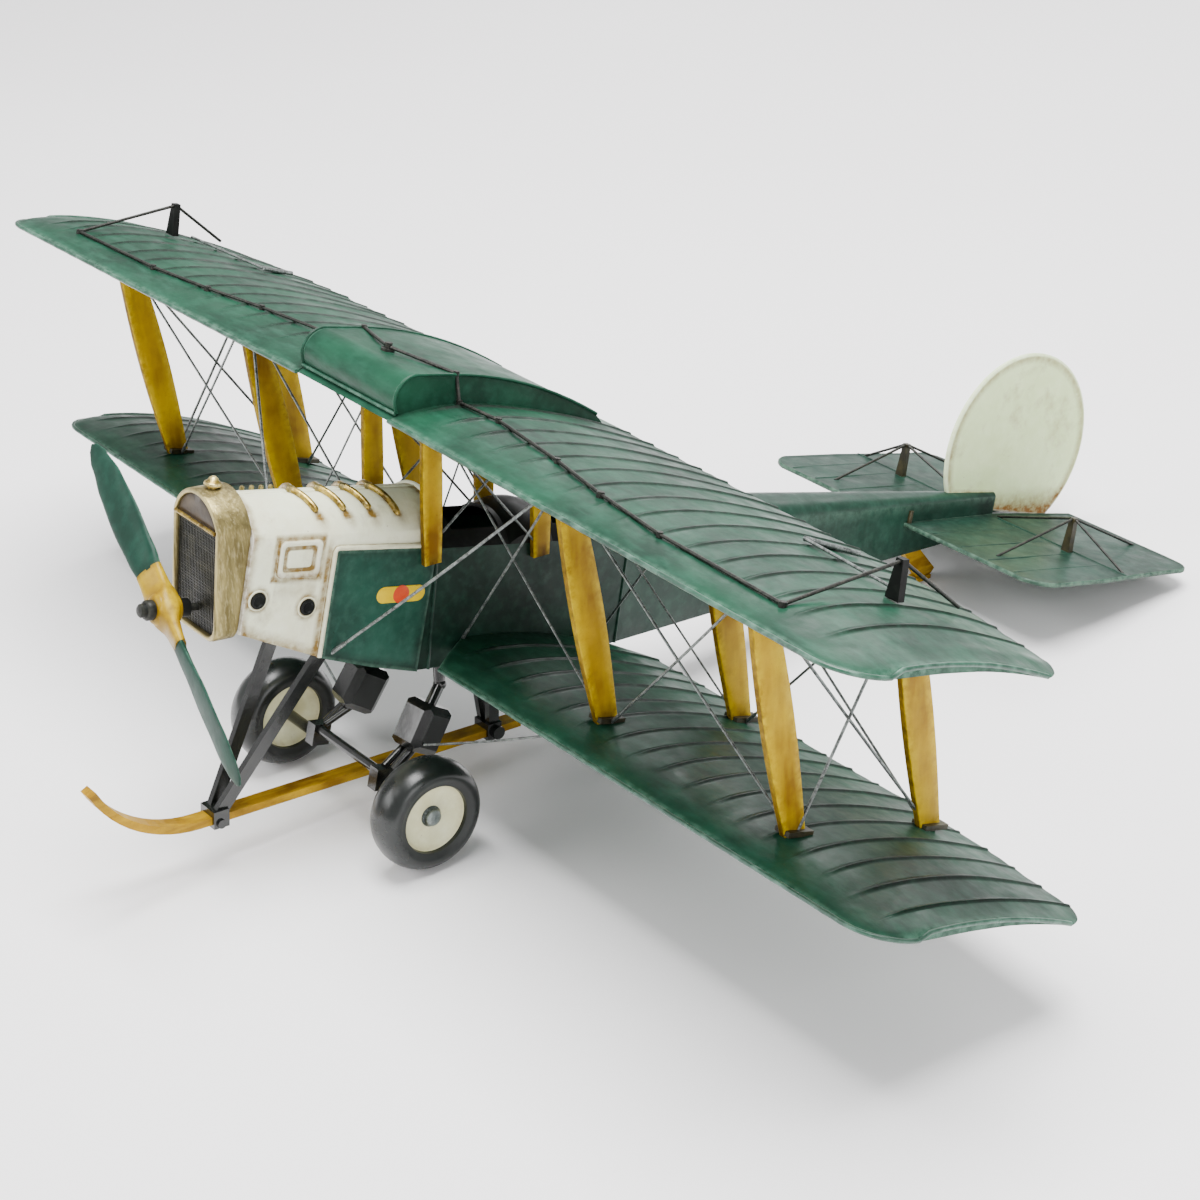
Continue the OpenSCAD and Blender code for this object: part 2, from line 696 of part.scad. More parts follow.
module shaft_bush() {
    color(black) difference() {
        shaft_line(bush_r, prop_y + boss_back + 0.5, collar_y - 0.5);
        shaft_line(shaft_r + clearance, prop_y, collar_y + 5);
    }
}

// ---------- Tail ----------
plate_t = 1.6;
module tailplane() {
    color(green) both_sides() translate([0, 0, tail_z - plate_t / 2]) linear_extrude(height = plate_t)
        polygon(concat([[5.2, tail_front], [54, tail_front + 1]],
            arc(61, tail_front + 14, 13.5, -75, -15),
            [[tail_half, tail_front + 39], [71.5, tail_rear - 17]],
            arc(64, tail_rear - 8, 7.5, 10, 80),
            [[57.6, tail_rear], [7.2, tail_rear], [2.6, tail_rear - 32], [2.1, body_end]]));
}
post_x = 45;
post_y = 303.5;
post_h = 12.6;
post_top = [post_x, post_y, tail_z + plate_t / 2 + post_h];
module tail_kingposts() {
    color(black) both_sides() {
        translate([post_x, post_y, tail_z + plate_t / 2 - 0.4]) rotate([90, 0, 0])
            linear_extrude(height = 2.4, center = true)
                polygon([[-1.9, 0], [1.9, 0], [1.1, post_h + 1], [-1.1, post_h + 1]]);
        translate([5.9, tail_front + 2.5, tail_z + plate_t / 2 - 0.4]) cylinder(r = 0.9, h = 5);
    }
}
// Four wires brace each half of the tailplane: forward, aft, inboard and outboard.
module tail_wires() {
    color(black) both_sides()
        for (w = [[0, -1, post_x - 1, tail_front + 10.5], [0, 1, post_x - 1, tail_rear - 3.5],
                [-1, 0, 5.4, post_y + 4], [1, 0, 70, post_y + 4]])
            wire(post_top + [w[0], w[1], 0], [w[2], w[3], tail_z + plate_t / 2 - 0.2], 0.5);
}
rudder_t = 1.8;
module rudder() {
    color(cream) side_extrude(-rudder_t / 2, rudder_t / 2) difference() {
        translate([rudder_y, rudder_z]) circle(r = rudder_r, $fn = 96);
        polygon([[250, -43.4], [body_end + 0.6, -45.2], [body_end + 2.2, -51.4], [345, -55.4], [345, -90],
            [250, -90]]);
    }
}
module tail_skid() {
    color(ochre) {
        side_extrude(-1.7, 1.7)
            polygon([[262, -64.3], [270, -63.3], [282, -72.8], [shoe_y + 3.6, shoe_z + 2.4],
                [shoe_y - 3, shoe_z + 1.2]]);
        translate([0, shoe_y, shoe_z]) rotate([attitude, 0, 0])
            translate([-2.6, -3.4, 0]) cube([5.2, 6.8, 1.6]);
    }
}

// ---------- Undercarriage ----------
skid_w = 6;
skid_back = 123;
skid_line = [cos(skid_slope), sin(skid_slope)];
skid_tangent = skid_bend + skid_r * [sin(skid_slope), -cos(skid_slope)];
function on_skid(d, off) = skid_tangent + d * skid_line + off * [-skid_line.y, skid_line.x];
module landing_skid() {
    color(ochre) side_extrude(-skid_w / 2, skid_w / 2) polygon(concat(
        arc(skid_bend.x, skid_bend.y, skid_r + skid_t / 2, skid_tip, skid_slope - 90, 12),
        [on_skid(skid_back, -skid_t / 2), on_skid(skid_back, skid_t / 2)],
        arc(skid_bend.x, skid_bend.y, skid_r - skid_t / 2, skid_slope - 90, skid_tip, 12)));
}
v_foot = [0, -23.7, -136];
module skid_clamp(p, size) {
    translate([0, p.y, p.z]) rotate([skid_slope, 0, 0]) cube([size, 5.5, 6], center = true);
}
module front_v_struts() {
    color(black) {
        both_sides() bar([1.8, v_foot.y, v_foot.z], [13, -2.6, -79.6], 4.2, 2.2);
        skid_clamp(v_foot - [0, 0, 1], 8.4);
        translate([-5, v_foot.y, v_foot.z - 2.4]) rotate([0, 90, 0]) cylinder(r = 1.5, h = 10);
    }
}
rear_post = [0, 79.5, -117];
module rear_skid_struts() {
    color(black) {
        both_sides() bar([2, rear_post.y, rear_post.z], [6.5, 70, -85.6], 4, 2.4);
        skid_clamp(rear_post - [0, 0, 1.2], 8);
        translate([-5.4, rear_post.y + 1, rear_post.z - 1.4]) rotate([0, 90, 0])
            cylinder(r = 2.3, h = 10.8);
    }
}
box_at = [18, 37.5, -106];
tube_r = 1.9;
module leg_tubes() {
    color(black) both_sides() {
        rod([13, 44, -87], [14.5, 44.6, -93.5], tube_r);
        translate([14.5, 44.6, -93.5]) sphere(r = tube_r + 0.3);
        rod([14.6, 44.4, -93.7], [17, 40, -99.5], tube_r);
    }
}
module shock_boxes() {
    color(black) both_sides() {
        translate(box_at) rotate([-20, 0, 8]) chamfer_box([13, 13, 16], 2.4);
        rod(box_at + [1.5, -3, -6], [20, 27.5, -119.5], 1.7);
        rod(box_at + [-2, -3, -6], [17.6, 25.5, -118.8], 1.2);
    }
}
cross_at = [23.5, -120.2];
stub_r = 1.9;
disc_face = 3.4;
module axle() {
    color(black) {
        translate([-19, cross_at.x, cross_at.y]) rotate([0, 90, 0]) cylinder(r = 1.6, h = 38);
        both_sides() {
            translate([16.5, cross_at.x - 2.6, cross_at.y - 5.5]) cube([4.4, 6.4, 7.4]);
            translate([18, axle_y, axle_z]) rotate([0, 90, 0])
                cylinder(r = stub_r, h = track_half - disc_face - 18.4);
            translate([18, axle_y, axle_z]) rotate([0, 90, 0])
                cylinder(r = journal_r, h = track_half - 18 + disc_face - 0.6);
        }
    }
}
tyre_minor = 3.9;
tyre_flat = tyre_section - tyre_minor;
tyre_major = tyre_r - tyre_minor;
disc_r = tyre_major - tyre_minor;
module wheel_place() {
    translate([track_half, axle_y, axle_z]) rotate([0, 90, 0]) children();
}
module tyre() {
    color(black) wheel_place() rotate_extrude($fn = 96) {
        for (z = [-tyre_flat, tyre_flat]) translate([tyre_major, z]) circle(r = tyre_minor);
        translate([tyre_major - tyre_minor, -tyre_flat]) square([2 * tyre_minor, 2 * tyre_flat]);
    }
}
module wheel_disc() {
    color(cream) wheel_place() difference() {
        translate([0, 0, -tyre_flat + 0.1]) cylinder(r = disc_r, h = 2 * tyre_flat - 0.2, $fn = 96);
        translate([0, 0, -10]) cylinder(r = journal_r + clearance, h = 20);
    }
}
module hub_cap() {
    color(grey) wheel_place() translate([0, 0, tyre_flat - 0.1]) {
        cylinder(r = 2.7, h = 1.4);
        cylinder(r = 1.5, h = 2.1);
    }
}
module tyre_left() { tyre(); }
module wheel_disc_left() { wheel_disc(); }
module hub_cap_left() { hub_cap(); }
module tyre_right() { on_side(starboard) tyre(); }
module wheel_disc_right() { on_side(starboard) wheel_disc(); }
module hub_cap_right() { on_side(starboard) hub_cap(); }

posed() fuselage_shell();
posed() mid_deck();
posed() cockpit_seats();
posed() engine_cowl();
posed() side_panel_left();
posed() side_panel_right();
posed() panel_beading();
posed() cowl_hatches();
posed() exhaust_ports();
posed() cowl_hoops();
posed() radiator_shell();
posed() radiator_core();
posed() header_tank();
posed() filler_cap();
posed() shaft_bush();
posed() upper_wing_left();
posed() upper_wing_right();
posed() centre_section();
posed() lower_wing_left();
posed() lower_wing_right();
posed() strut_left_inner_front();
posed() strut_left_inner_rear();
posed() strut_left_outer_front();
posed() strut_left_outer_rear();
posed() strut_right_inner_front();
posed() strut_right_inner_rear();
posed() strut_right_outer_front();
posed() strut_right_outer_rear();
posed() cabane_struts_left();
posed() cabane_struts_right();
posed() strut_fittings();
posed() rigging_left();
posed() rigging_right();
posed() centre_wires();
posed() aileron_cable_left();
posed() aileron_cable_right();
posed() cable_pulleys();
posed() aileron_horns();
posed() aileron_rods();
posed() tailplane();
posed() tail_kingposts();
posed() tail_wires();
posed() rudder();
posed() tail_skid();
posed() landing_skid();
posed() front_v_struts();
posed() rear_skid_struts();
posed() leg_tubes();
posed() shock_boxes();
posed() axle();
posed() prop_blades();
posed() prop_boss();
posed() prop_nut();
posed() prop_shaft();
posed() tyre_left();
posed() wheel_disc_left();
posed() hub_cap_left();
posed() tyre_right();
posed() wheel_disc_right();
posed() hub_cap_right();
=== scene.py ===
import bpy
import bmesh
import json
import random
from math import (acos, asin, atan2, copysign, cos, exp, hypot, pi, radians, sin, sqrt, tan, tanh)
from mathutils import Vector, Matrix

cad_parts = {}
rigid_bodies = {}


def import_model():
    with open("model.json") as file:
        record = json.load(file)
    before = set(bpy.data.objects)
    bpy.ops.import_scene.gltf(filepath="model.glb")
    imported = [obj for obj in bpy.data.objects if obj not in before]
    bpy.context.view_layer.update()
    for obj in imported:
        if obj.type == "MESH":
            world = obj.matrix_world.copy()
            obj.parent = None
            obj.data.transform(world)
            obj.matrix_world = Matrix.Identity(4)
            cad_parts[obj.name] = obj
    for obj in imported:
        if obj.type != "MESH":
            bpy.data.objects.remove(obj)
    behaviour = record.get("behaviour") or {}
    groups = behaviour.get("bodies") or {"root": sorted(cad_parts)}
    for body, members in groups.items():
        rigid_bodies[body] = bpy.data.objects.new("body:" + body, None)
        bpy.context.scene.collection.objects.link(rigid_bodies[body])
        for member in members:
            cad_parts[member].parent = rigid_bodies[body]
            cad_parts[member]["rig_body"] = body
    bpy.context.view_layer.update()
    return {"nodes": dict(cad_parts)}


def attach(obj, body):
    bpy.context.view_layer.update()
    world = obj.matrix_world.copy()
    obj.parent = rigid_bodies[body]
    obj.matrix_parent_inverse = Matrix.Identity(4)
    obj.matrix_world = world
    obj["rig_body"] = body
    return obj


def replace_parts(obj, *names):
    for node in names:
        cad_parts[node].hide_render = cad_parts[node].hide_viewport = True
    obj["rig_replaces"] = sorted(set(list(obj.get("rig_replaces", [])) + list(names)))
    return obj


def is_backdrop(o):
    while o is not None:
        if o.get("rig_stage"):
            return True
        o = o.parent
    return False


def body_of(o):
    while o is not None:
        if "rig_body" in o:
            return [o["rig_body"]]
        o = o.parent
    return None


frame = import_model()
nodes = frame["nodes"]
MM = 0.001
SIDES = ((1, "left"), (-1, "right"))

# ---------------- attitude, as in the CAD
# The aircraft frame is in millimetres: X to port, Y aft, Z up. Pairs are (y, z).
SHOE, AXLE, TYRE_R = (277.0, -77.4), (25.5, -123.9), 18.6
BEND, BEND_R, BEND_END = (-37.4, -97.7), 42.9, radians(-141)      # the landing skid's upturned nose
RUDDER, RUDDER_R = (315.0, -26.3), 38.0
reach = hypot(SHOE[0] - AXLE[0], SHOE[1] - AXLE[1])
ATT = atan2(SHOE[1] - AXLE[1], SHOE[0] - AXLE[0]) + asin(TYRE_R / reach)
GROUND = TYRE_R + AXLE[0] * sin(ATT) - AXLE[1] * cos(ATT)
nose = (BEND[0] + BEND_R * cos(BEND_END), BEND[1] + BEND_R * sin(BEND_END))
SHIFT = -((nose[0] + RUDDER[0]) * cos(ATT) + (nose[1] + RUDDER[1]) * sin(ATT) + RUDDER_R) / 2
CA, SA = cos(ATT), sin(ATT)
Y, Z = Vector((0, 1, 0)), Vector((0, 0, 1))


def turn(v):
    return Vector((v[0], v[1] * CA + v[2] * SA, -v[1] * SA + v[2] * CA))


def W(p):
    """A point of the aircraft frame in the world, in metres."""
    q = turn(p)
    return Vector((q.x, q.y + SHIFT, q.z + GROUND)) * MM


def place(ob):
    bpy.context.scene.collection.objects.link(ob)
    return ob


# ---------------- camera, fitted to the photograph
CAM_AT = (646.24, -452.41, 205.54)
FOCAL, CENTRE_X, CENTRE_Y = 2642.93 / 1200, 664.83 / 1200, 525.08 / 1200      # in frame widths
az, el, roll = (radians(v) for v in (47.393, 16.175, 10.761))
right = Vector((cos(az), sin(az), 0))
back = Vector((sin(az) * cos(el), -cos(az) * cos(el), sin(el)))
up = back.cross(right)
axes = [turn(a) for a in (cos(roll) * right + sin(roll) * up, cos(roll) * up - sin(roll) * right, back)]
cam_data = bpy.data.cameras.new("camera")
cam = place(bpy.data.objects.new("camera", cam_data))
m = Matrix(axes).transposed().to_4x4()
m.translation = W(CAM_AT)
cam.matrix_world = m
cam_data.sensor_width = 36
cam_data.lens = FOCAL * cam_data.sensor_width
cam_data.shift_x, cam_data.shift_y = 0.5 - CENTRE_X, CENTRE_Y - 0.5
cam_data.clip_start, cam_data.clip_end = 0.01, 20
bpy.context.scene.camera = cam


# ---------------- node helpers
class Tree:
    """A small builder for one material's nodes."""

    def __init__(self, name):
        self.mat = bpy.data.materials.new(name)
        self.mat.use_nodes = True
        self.nt = self.mat.node_tree
        self.nt.nodes.clear()
        out = self.nt.nodes.new("ShaderNodeOutputMaterial")
        self.bsdf = self.nt.nodes.new("ShaderNodeBsdfPrincipled")
        self.nt.links.new(self.bsdf.outputs[0], out.inputs[0])
        self.pos = self.nt.nodes.new("ShaderNodeTexCoord").outputs["Object"]

    def link(self, a, b):
        self.nt.links.new(a, b)

    def put(self, socket, v):
        if hasattr(v, "links"):
            self.link(v, socket)
        else:
            socket.default_value = v

    def noise(self, scale, detail, rough, stretch=(1, 1, 1), off=0.0):
        n = self.nt.nodes.new("ShaderNodeTexNoise")
        n.inputs["Scale"].default_value = scale
        n.inputs["Detail"].default_value = detail
        n.inputs["Roughness"].default_value = rough
        mp = self.nt.nodes.new("ShaderNodeMapping")
        mp.inputs["Scale"].default_value = stretch
        mp.inputs["Location"].default_value = (off, off * 0.7, off * 1.3)
        self.link(self.pos, mp.inputs["Vector"])
        self.link(mp.outputs[0], n.inputs["Vector"])
        return n.outputs["Fac"]

    def ramp(self, fac, stops):
        """Grey levels by position, as (position, level) pairs."""
        r = self.nt.nodes.new("ShaderNodeValToRGB")
        e = r.color_ramp.elements
        for el, (p, c) in zip(e, stops):
            el.position = p
            el.color = (c, c, c, 1)
        self.link(fac, r.inputs[0])
        return r.outputs[0]

    def mix(self, fac, a, b):
        n = self.nt.nodes.new("ShaderNodeMix")
        n.data_type = "RGBA"
        self.put(n.inputs[0], fac)
        for socket, v in ((n.inputs[6], a), (n.inputs[7], b)):
            self.put(socket, v if hasattr(v, "links") else (*v, 1))
        return n.outputs[2]

    def times(self, a, b, clamp=False, op="MULTIPLY"):
        n = self.nt.nodes.new("ShaderNodeMath")
        n.operation = op
        n.use_clamp = clamp
        self.put(n.inputs[0], a)
        self.put(n.inputs[1], b)
        return n.outputs[0]

    def plus(self, a, b, clamp=False):
        return self.times(a, b, clamp, "ADD")

    def attr(self, name):
        n = self.nt.nodes.new("ShaderNodeAttribute")
        n.attribute_name = name
        return n.outputs["Fac"]

    def bump(self, height, strength, distance, normal=None):
        n = self.nt.nodes.new("ShaderNodeBump")
        n.inputs["Strength"].default_value = strength
        n.inputs["Distance"].default_value = distance
        self.link(height, n.inputs["Height"])
        if normal is not None:
            self.link(normal, n.inputs["Normal"])
        return n.outputs[0]

    def finish(self, color, rough, metallic=0.0, normal=None, coat=0.0, coat_rough=0.2, spec=0.5):
        b = self.bsdf
        self.put(b.inputs["Base Color"], color)
        self.put(b.inputs["Roughness"], rough)
        self.put(b.inputs["Metallic"], metallic)
        b.inputs["Coat Weight"].default_value = coat
        b.inputs["Coat Roughness"].default_value = coat_rough
        b.inputs["Specular IOR Level"].default_value = spec
        if normal is not None:
            self.link(normal, b.inputs["Normal"])
        return self.mat


def lin(rgb):
    """sRGB bytes to linear."""
    return [((c / 255 + 0.055) / 1.055) ** 2.4 if c > 10 else c / 255 / 12.92 for c in rgb]


def paint(name, base, light, dark, bare, grime_and_shade, rough=(0.28, 0.5), coat=0.0,
          brush=(1, 1, 1), mottle=0.35, darken=0.5, spec=0.5):
    """Hand-painted tin: mottled colour, grime and painted shade in the hollows, worn edges, chips and brush
    marks.
    Meshes may carry float attributes: wear (edges), dirt (real grime, and painted shade in hollows, joints
    and undersides) and line (seams)."""
    base, light, dark, bare, grime_and_shade = (lin(c) for c in (base, light, dark, bare, grime_and_shade))
    t = Tree(name)

    def patches(scale, detail, roughness, off, low, high):
        return t.ramp(t.noise(scale, detail, roughness, off=off), [low, high])

    fine = t.noise(260, 3, 0.6, stretch=brush)
    speck = t.noise(1500, 2, 0.5)
    col = t.mix(patches(38, 4, 0.6, 0.3, (0.32, 0.0), (0.68, 1.0)), dark, base)
    col = t.mix(t.times(t.ramp(fine, [(0.45, 0.0), (0.72, 1.0)]), mottle), col, light)
    col = t.mix(t.times(t.ramp(speck, [(0.58, 0.0), (0.75, 1.0)]), 0.25), col, dark)
    # stains in random patches, added to the dirt attribute, which carries real grime and painted shade in
    # hollows, joints and undersides
    patch = t.times(patches(85, 5, 0.65, 1.7, (0.55, 0.0), (0.8, 1.0)), 0.45)
    dirt = t.plus(t.attr("dirt"), patch)
    dirt = t.times(dirt, patches(420, 3, 0.6, 4.1, (0.25, 0.45), (0.7, 1.0)), clamp=True)
    # darkens towards the grime_and_shade colour: real stains, and painted shade where the attribute marks
    # hollows and joints
    col = t.mix(t.times(dirt, darken, clamp=True), col, grime_and_shade)
    line = t.times(t.attr("line"), patches(500, 3, 0.6, 2.2, (0.3, 0.55), (0.6, 1.0)), clamp=True)
    col = t.mix(line, col, [c * 0.35 for c in grime_and_shade])
    # paint rubbed through on the edges, and small chips
    rub = t.times(t.attr("wear"), patches(330, 4, 0.65, 6.6, (0.38, 0.15), (0.62, 1.0)), clamp=True)
    col = t.mix(rub, col, bare)
    col = t.mix(t.times(patches(620, 4, 0.7, 9.3, (0.70, 0.0), (0.73, 1.0)), 0.7), col, grime_and_shade)
    r = patches(120, 4, 0.6, 3.3, (0.3, rough[0]), (0.7, rough[1]))
    r = t.plus(r, t.times(dirt, 0.25), clamp=True)
    n = t.bump(t.noise(70, 3, 0.5, off=5.0), 0.35, 0.0009)
    n = t.bump(fine, 0.25, 0.00022, n)
    n = t.bump(speck, 0.2, 0.00006, n)
    return t.finish(col, r, 0.0, n, coat, 0.25, spec)


def metal(name, base, light, dark, rough, metallic, grain, stretch=(1, 1, 1)):
    """Bare or plated metal, darker where the dirt attribute paints shade in the hollows, and brighter on the
    edges.
    """
    base, light, dark = (lin(c) for c in (base, light, dark))
    t = Tree(name)
    a = t.noise(grain, 5, 0.65, stretch=stretch)
    b = t.noise(grain * 4, 3, 0.6, off=2.0, stretch=stretch)
    col = t.mix(t.ramp(a, [(0.38, 0.0), (0.62, 1.0)]), dark, base)
    col = t.mix(t.times(t.ramp(b, [(0.5, 0.0), (0.7, 1.0)]), 0.5), col, light)
    col = t.mix(t.times(t.attr("dirt"), 0.8, clamp=True), col, [c * 0.4 for c in dark])
    col = t.mix(t.times(t.attr("wear"), 0.7, clamp=True), col, light)
    r = t.ramp(t.noise(grain * 2, 4, 0.6, off=5.0), [(0.3, rough[0]), (0.7, rough[1])])
    n = t.bump(a, 0.3, 0.0002)
    n = t.bump(b, 0.25, 0.00008, n)
    return t.finish(col, r, metallic, n)


M = {
    "green": paint("green_paint", (24, 70, 50), (46, 96, 76), (14, 44, 32), (80, 116, 98), (10, 14, 8),
                   brush=(0.35, 1, 1), darken=0.75, spec=0.18),
    "blade_green": paint("blade_green", (18, 54, 42), (34, 76, 62), (12, 36, 28), (60, 96, 80), (8, 12, 8),
                         rough=(0.36, 0.5), darken=0.7, spec=0.12, brush=(1, 0.3, 1)),
    "body_green": paint("body_green", (24, 54, 42), (46, 80, 66), (14, 34, 26), (80, 110, 94), (8, 12, 8),
                        darken=0.75, spec=0.2),
    "plate_green": paint("plate_green", (36, 78, 64), (60, 100, 86), (26, 56, 46), (90, 120, 104),
                         (10, 14, 8),
                         darken=0.75, spec=0.2),
    "tail_green": paint("tail_green", (26, 58, 46), (50, 84, 70), (16, 38, 30), (90, 118, 100), (12, 16, 10),
                        rough=(0.3, 0.5), darken=0.75, spec=0.18),
    "lip": paint("lip_green", (38, 84, 64), (92, 130, 112), (22, 52, 40), (130, 156, 140), (16, 22, 16),
                 rough=(0.25, 0.42), mottle=0.6),
    "black": paint("black_paint", (14, 16, 14), (28, 32, 28), (8, 9, 8), (70, 70, 62), (7, 7, 5),
                   rough=(0.34, 0.54), mottle=0.5, spec=0.15),
    "gloss": paint("gloss_black", (15, 17, 16), (34, 38, 34), (8, 9, 8), (90, 88, 74), (40, 34, 20),
                   rough=(0.12, 0.28), coat=0.4, darken=0.3),
    "tyre": paint("tyre_black", (14, 19, 17), (30, 40, 36), (8, 12, 10), (60, 70, 66), (5, 6, 5),
                  rough=(0.22, 0.34), mottle=0.25, coat=0.2, spec=0.4),
    "core": paint("core_black", (40, 40, 32), (84, 82, 66), (20, 20, 15), (110, 104, 80), (8, 8, 5),
                  rough=(0.35, 0.55), mottle=0.5),
    "cream": paint("cream_paint", (236, 243, 214), (248, 251, 234), (224, 224, 192), (250, 250, 240),
                   (116, 88, 26), rough=(0.24, 0.4), darken=1.25, mottle=0.3),
    "rudder": paint("rudder_cream", (216, 236, 180), (228, 244, 202), (202, 222, 160), (244, 248, 228),
                    (116, 76, 14), rough=(0.28, 0.44), darken=1.25, mottle=0.3, spec=0.3),
    "disc": paint("disc_cream", (228, 230, 194), (240, 242, 214), (206, 202, 152), (244, 244, 226),
                  (110, 76, 34), rough=(0.32, 0.5), darken=0.8),
    "ochre": paint("ochre_paint", (166, 136, 0), (190, 162, 0), (116, 82, 0), (200, 172, 10), (62, 32, 2),
                   rough=(0.26, 0.42), darken=0.9, spec=0.2),
    "ochre_wood": paint("ochre_wood", (190, 152, 0), (218, 184, 0), (122, 82, 0), (216, 184, 20), (44, 28, 2),
                        rough=(0.3, 0.5), darken=0.9, brush=(1, 0.5, 0.12), mottle=0.5, spec=0.12),
    "skid_wood": paint("skid_paint", (166, 126, 2), (200, 160, 16), (88, 56, 0), (214, 186, 70), (36, 22, 4),
                       rough=(0.35, 0.55), darken=0.9, brush=(1, 0.2, 1), mottle=0.7, spec=0.2),
    "olive": paint("olive_paint", (46, 42, 20), (80, 72, 40), (26, 24, 12), (140, 130, 80), (14, 12, 6),
                   rough=(0.35, 0.55), mottle=0.5),
    "brown": paint("brown_paint", (66, 50, 24), (100, 80, 42), (38, 28, 14), (140, 116, 70), (26, 16, 8)),
    "yellow": paint("badge_yellow", (222, 188, 0), (232, 204, 0), (196, 156, 0), (190, 170, 60),
                    (110, 84, 20),
                    rough=(0.35, 0.5), spec=0.15),
    "red": paint("badge_red", (210, 64, 10), (226, 96, 30), (170, 44, 10), (200, 140, 100), (90, 30, 14),
                 rough=(0.35, 0.5)),
    "brass": metal("aged_brass", (150, 136, 84), (206, 192, 140), (92, 80, 42), (0.3, 0.48), 0.8, 300,
                   stretch=(1, 1, 0.22)),
    "gold": metal("worn_gold", (176, 150, 70), (236, 218, 150), (84, 62, 24), (0.24, 0.4), 0.8, 220),
    "wire": metal("steel_wire", (116, 122, 120), (178, 182, 178), (60, 64, 62), (0.32, 0.5), 0.5, 400),
    "dark_wire": metal("dark_wire", (40, 42, 38), (86, 84, 74), (20, 20, 18), (0.35, 0.55), 0.4, 400),
    "cap": metal("cap_grey", (88, 98, 98), (150, 158, 154), (44, 50, 50), (0.3, 0.45), 0.5, 300),
}


# ---------------- mesh helpers
def assign(ob, mat):
    ob.data.materials.clear()
    ob.data.materials.append(mat)


def new_mesh(name, verts, faces, mat, attrs, smooth=True, angle=40):
    """A mesh from aircraft-frame points in millimetres."""
    me = bpy.data.meshes.new(name)
    me.from_pydata([tuple(W(p)) for p in verts], [], faces)
    me.validate()
    bm = bmesh.new()
    bm.from_mesh(me)
    bmesh.ops.recalc_face_normals(bm, faces=bm.faces)
    bm.to_mesh(me)
    bm.free()
    for key, vals in attrs.items():
        a = me.attributes.new(key, "FLOAT", "POINT")
        a.data.foreach_set("value", [float(v) for v in vals])
    ob = place(bpy.data.objects.new(name, me))
    assign(ob, mat)
    if smooth:
        me.shade_smooth()
        me.set_sharp_from_angle(angle=radians(angle))
    return ob


def loft(name, loops, mat, caps=True, angle=40, **attrs):
    """Joins closed loops of equal length into a skin; attrs are float attributes, one value a point."""
    n = len(loops[0])
    verts = [p for lp in loops for p in lp]
    faces = []
    for i in range(len(loops) - 1):
        for j in range(n):
            k = (j + 1) % n
            faces.append((i * n + j, i * n + k, (i + 1) * n + k, (i + 1) * n + j))
    if caps:
        faces.append(tuple(range(n - 1, -1, -1)))
        faces.append(tuple((len(loops) - 1) * n + j for j in range(n)))
    return new_mesh(name, verts, faces, mat, attrs, True, angle)


def circle(centre, r, a, b, seg):
    """Points round a centre, on the plane of the unit vectors a and b."""
    steps = [2 * pi * j / seg for j in range(seg)]
    return [centre + r * (cos(t) * a + sin(t) * b) for t in steps]


def tube(name, pts, r, mat, seg=12, radii=None):
    """A round tube through points (aircraft frame, mm), with frames carried along it."""
    P = [Vector(p) for p in pts]
    tang = [(b - a).normalized() for a, b in zip([P[0]] + P[:-1], P[1:] + [P[-1]])]
    ref = Vector((0, 0, 1)) if abs(tang[0].z) < 0.9 else Vector((1, 0, 0))
    side = tang[0].cross(ref).normalized()
    loops = []
    for p, t, rr in zip(P, tang, radii or [r] * len(P)):
        side = (side - t * side.dot(t)).normalized()
        loops.append(circle(p, rr, side, t.cross(side), seg))
    return loft(name, loops, mat)


def lathe(name, profile, mat, centre, axis, seg=64, closed=False, **attrs):
    """Turns a profile of (distance along axis, radius) round an axis given in the aircraft frame.
    attrs have one value for each row of the profile."""
    ax = Vector(axis).normalized()
    ref = Vector((0, 0, 1)) if abs(ax.z) < 0.9 else Vector((1, 0, 0))
    s = ax.cross(ref).normalized()
    again = 1 if closed else 0
    loops = [circle(Vector(centre) + ax * d, max(r, 1e-4), s, ax.cross(s), seg)
             for d, r in profile + profile[:again]]
    vals = {k: [v for v in a + a[:again] for _ in range(seg)] for k, a in attrs.items()}
    return loft(name, loops, mat, caps=False, angle=35, **vals)


def lookup(x, table, smooth=False):
    """Reads a table of (x, value) pairs between its rows, straight or with eased ends."""
    if x <= table[0][0]:
        return table[0][1]
    for (a, b), (c, d) in zip(table, table[1:]):
        if x <= c:
            t = (x - a) / (c - a)
            return b + (d - b) * (t * t * (3 - 2 * t) if smooth else t)
    return table[-1][1]


def near(x, centre, reach):
    """1 at the centre, falling straight to 0 at the given reach on each side."""
    return max(0, 1 - abs(x - centre) / reach)


def join(name, obs):
    """Joins pieces into one object."""
    with bpy.context.temp_override(active_object=obs[0], selected_editable_objects=obs, object=obs[0]):
        bpy.ops.object.join()
    obs[0].name = name
    return obs[0]


def soften(node, width):
    """Rounds a CAD node's edges for show."""
    b = nodes[node].modifiers.new("round", "BEVEL")
    b.width = width * MM
    b.segments = 3
    b.limit_method = "ANGLE"
    b.angle_limit = radians(30)


# ---------------- wings
CHORD, STAG, GAP, HALF, INNER = 93.0, 33.0, 82.5, 230.0, 26.0
INC = tan(radians(3.4))
DIH = tan(radians(0.6))
rng = random.Random(7)


TIP_F, TIP_R = 15.0, 10.0          # corner radii of the wing tips, front and rear
RIB, STATIONS = 12.1, 34
CAMBER, CAMBER_AT, THICK = 0.052, 0.4, 0.05


def camber_line(s):
    s = min(max(s, 0), 1)
    c, p = CAMBER, CAMBER_AT
    return c / p ** 2 * (2 * p * s - s * s) if s < p else c / (1 - p) ** 2 * (1 - 2 * p + 2 * p * s - s * s)


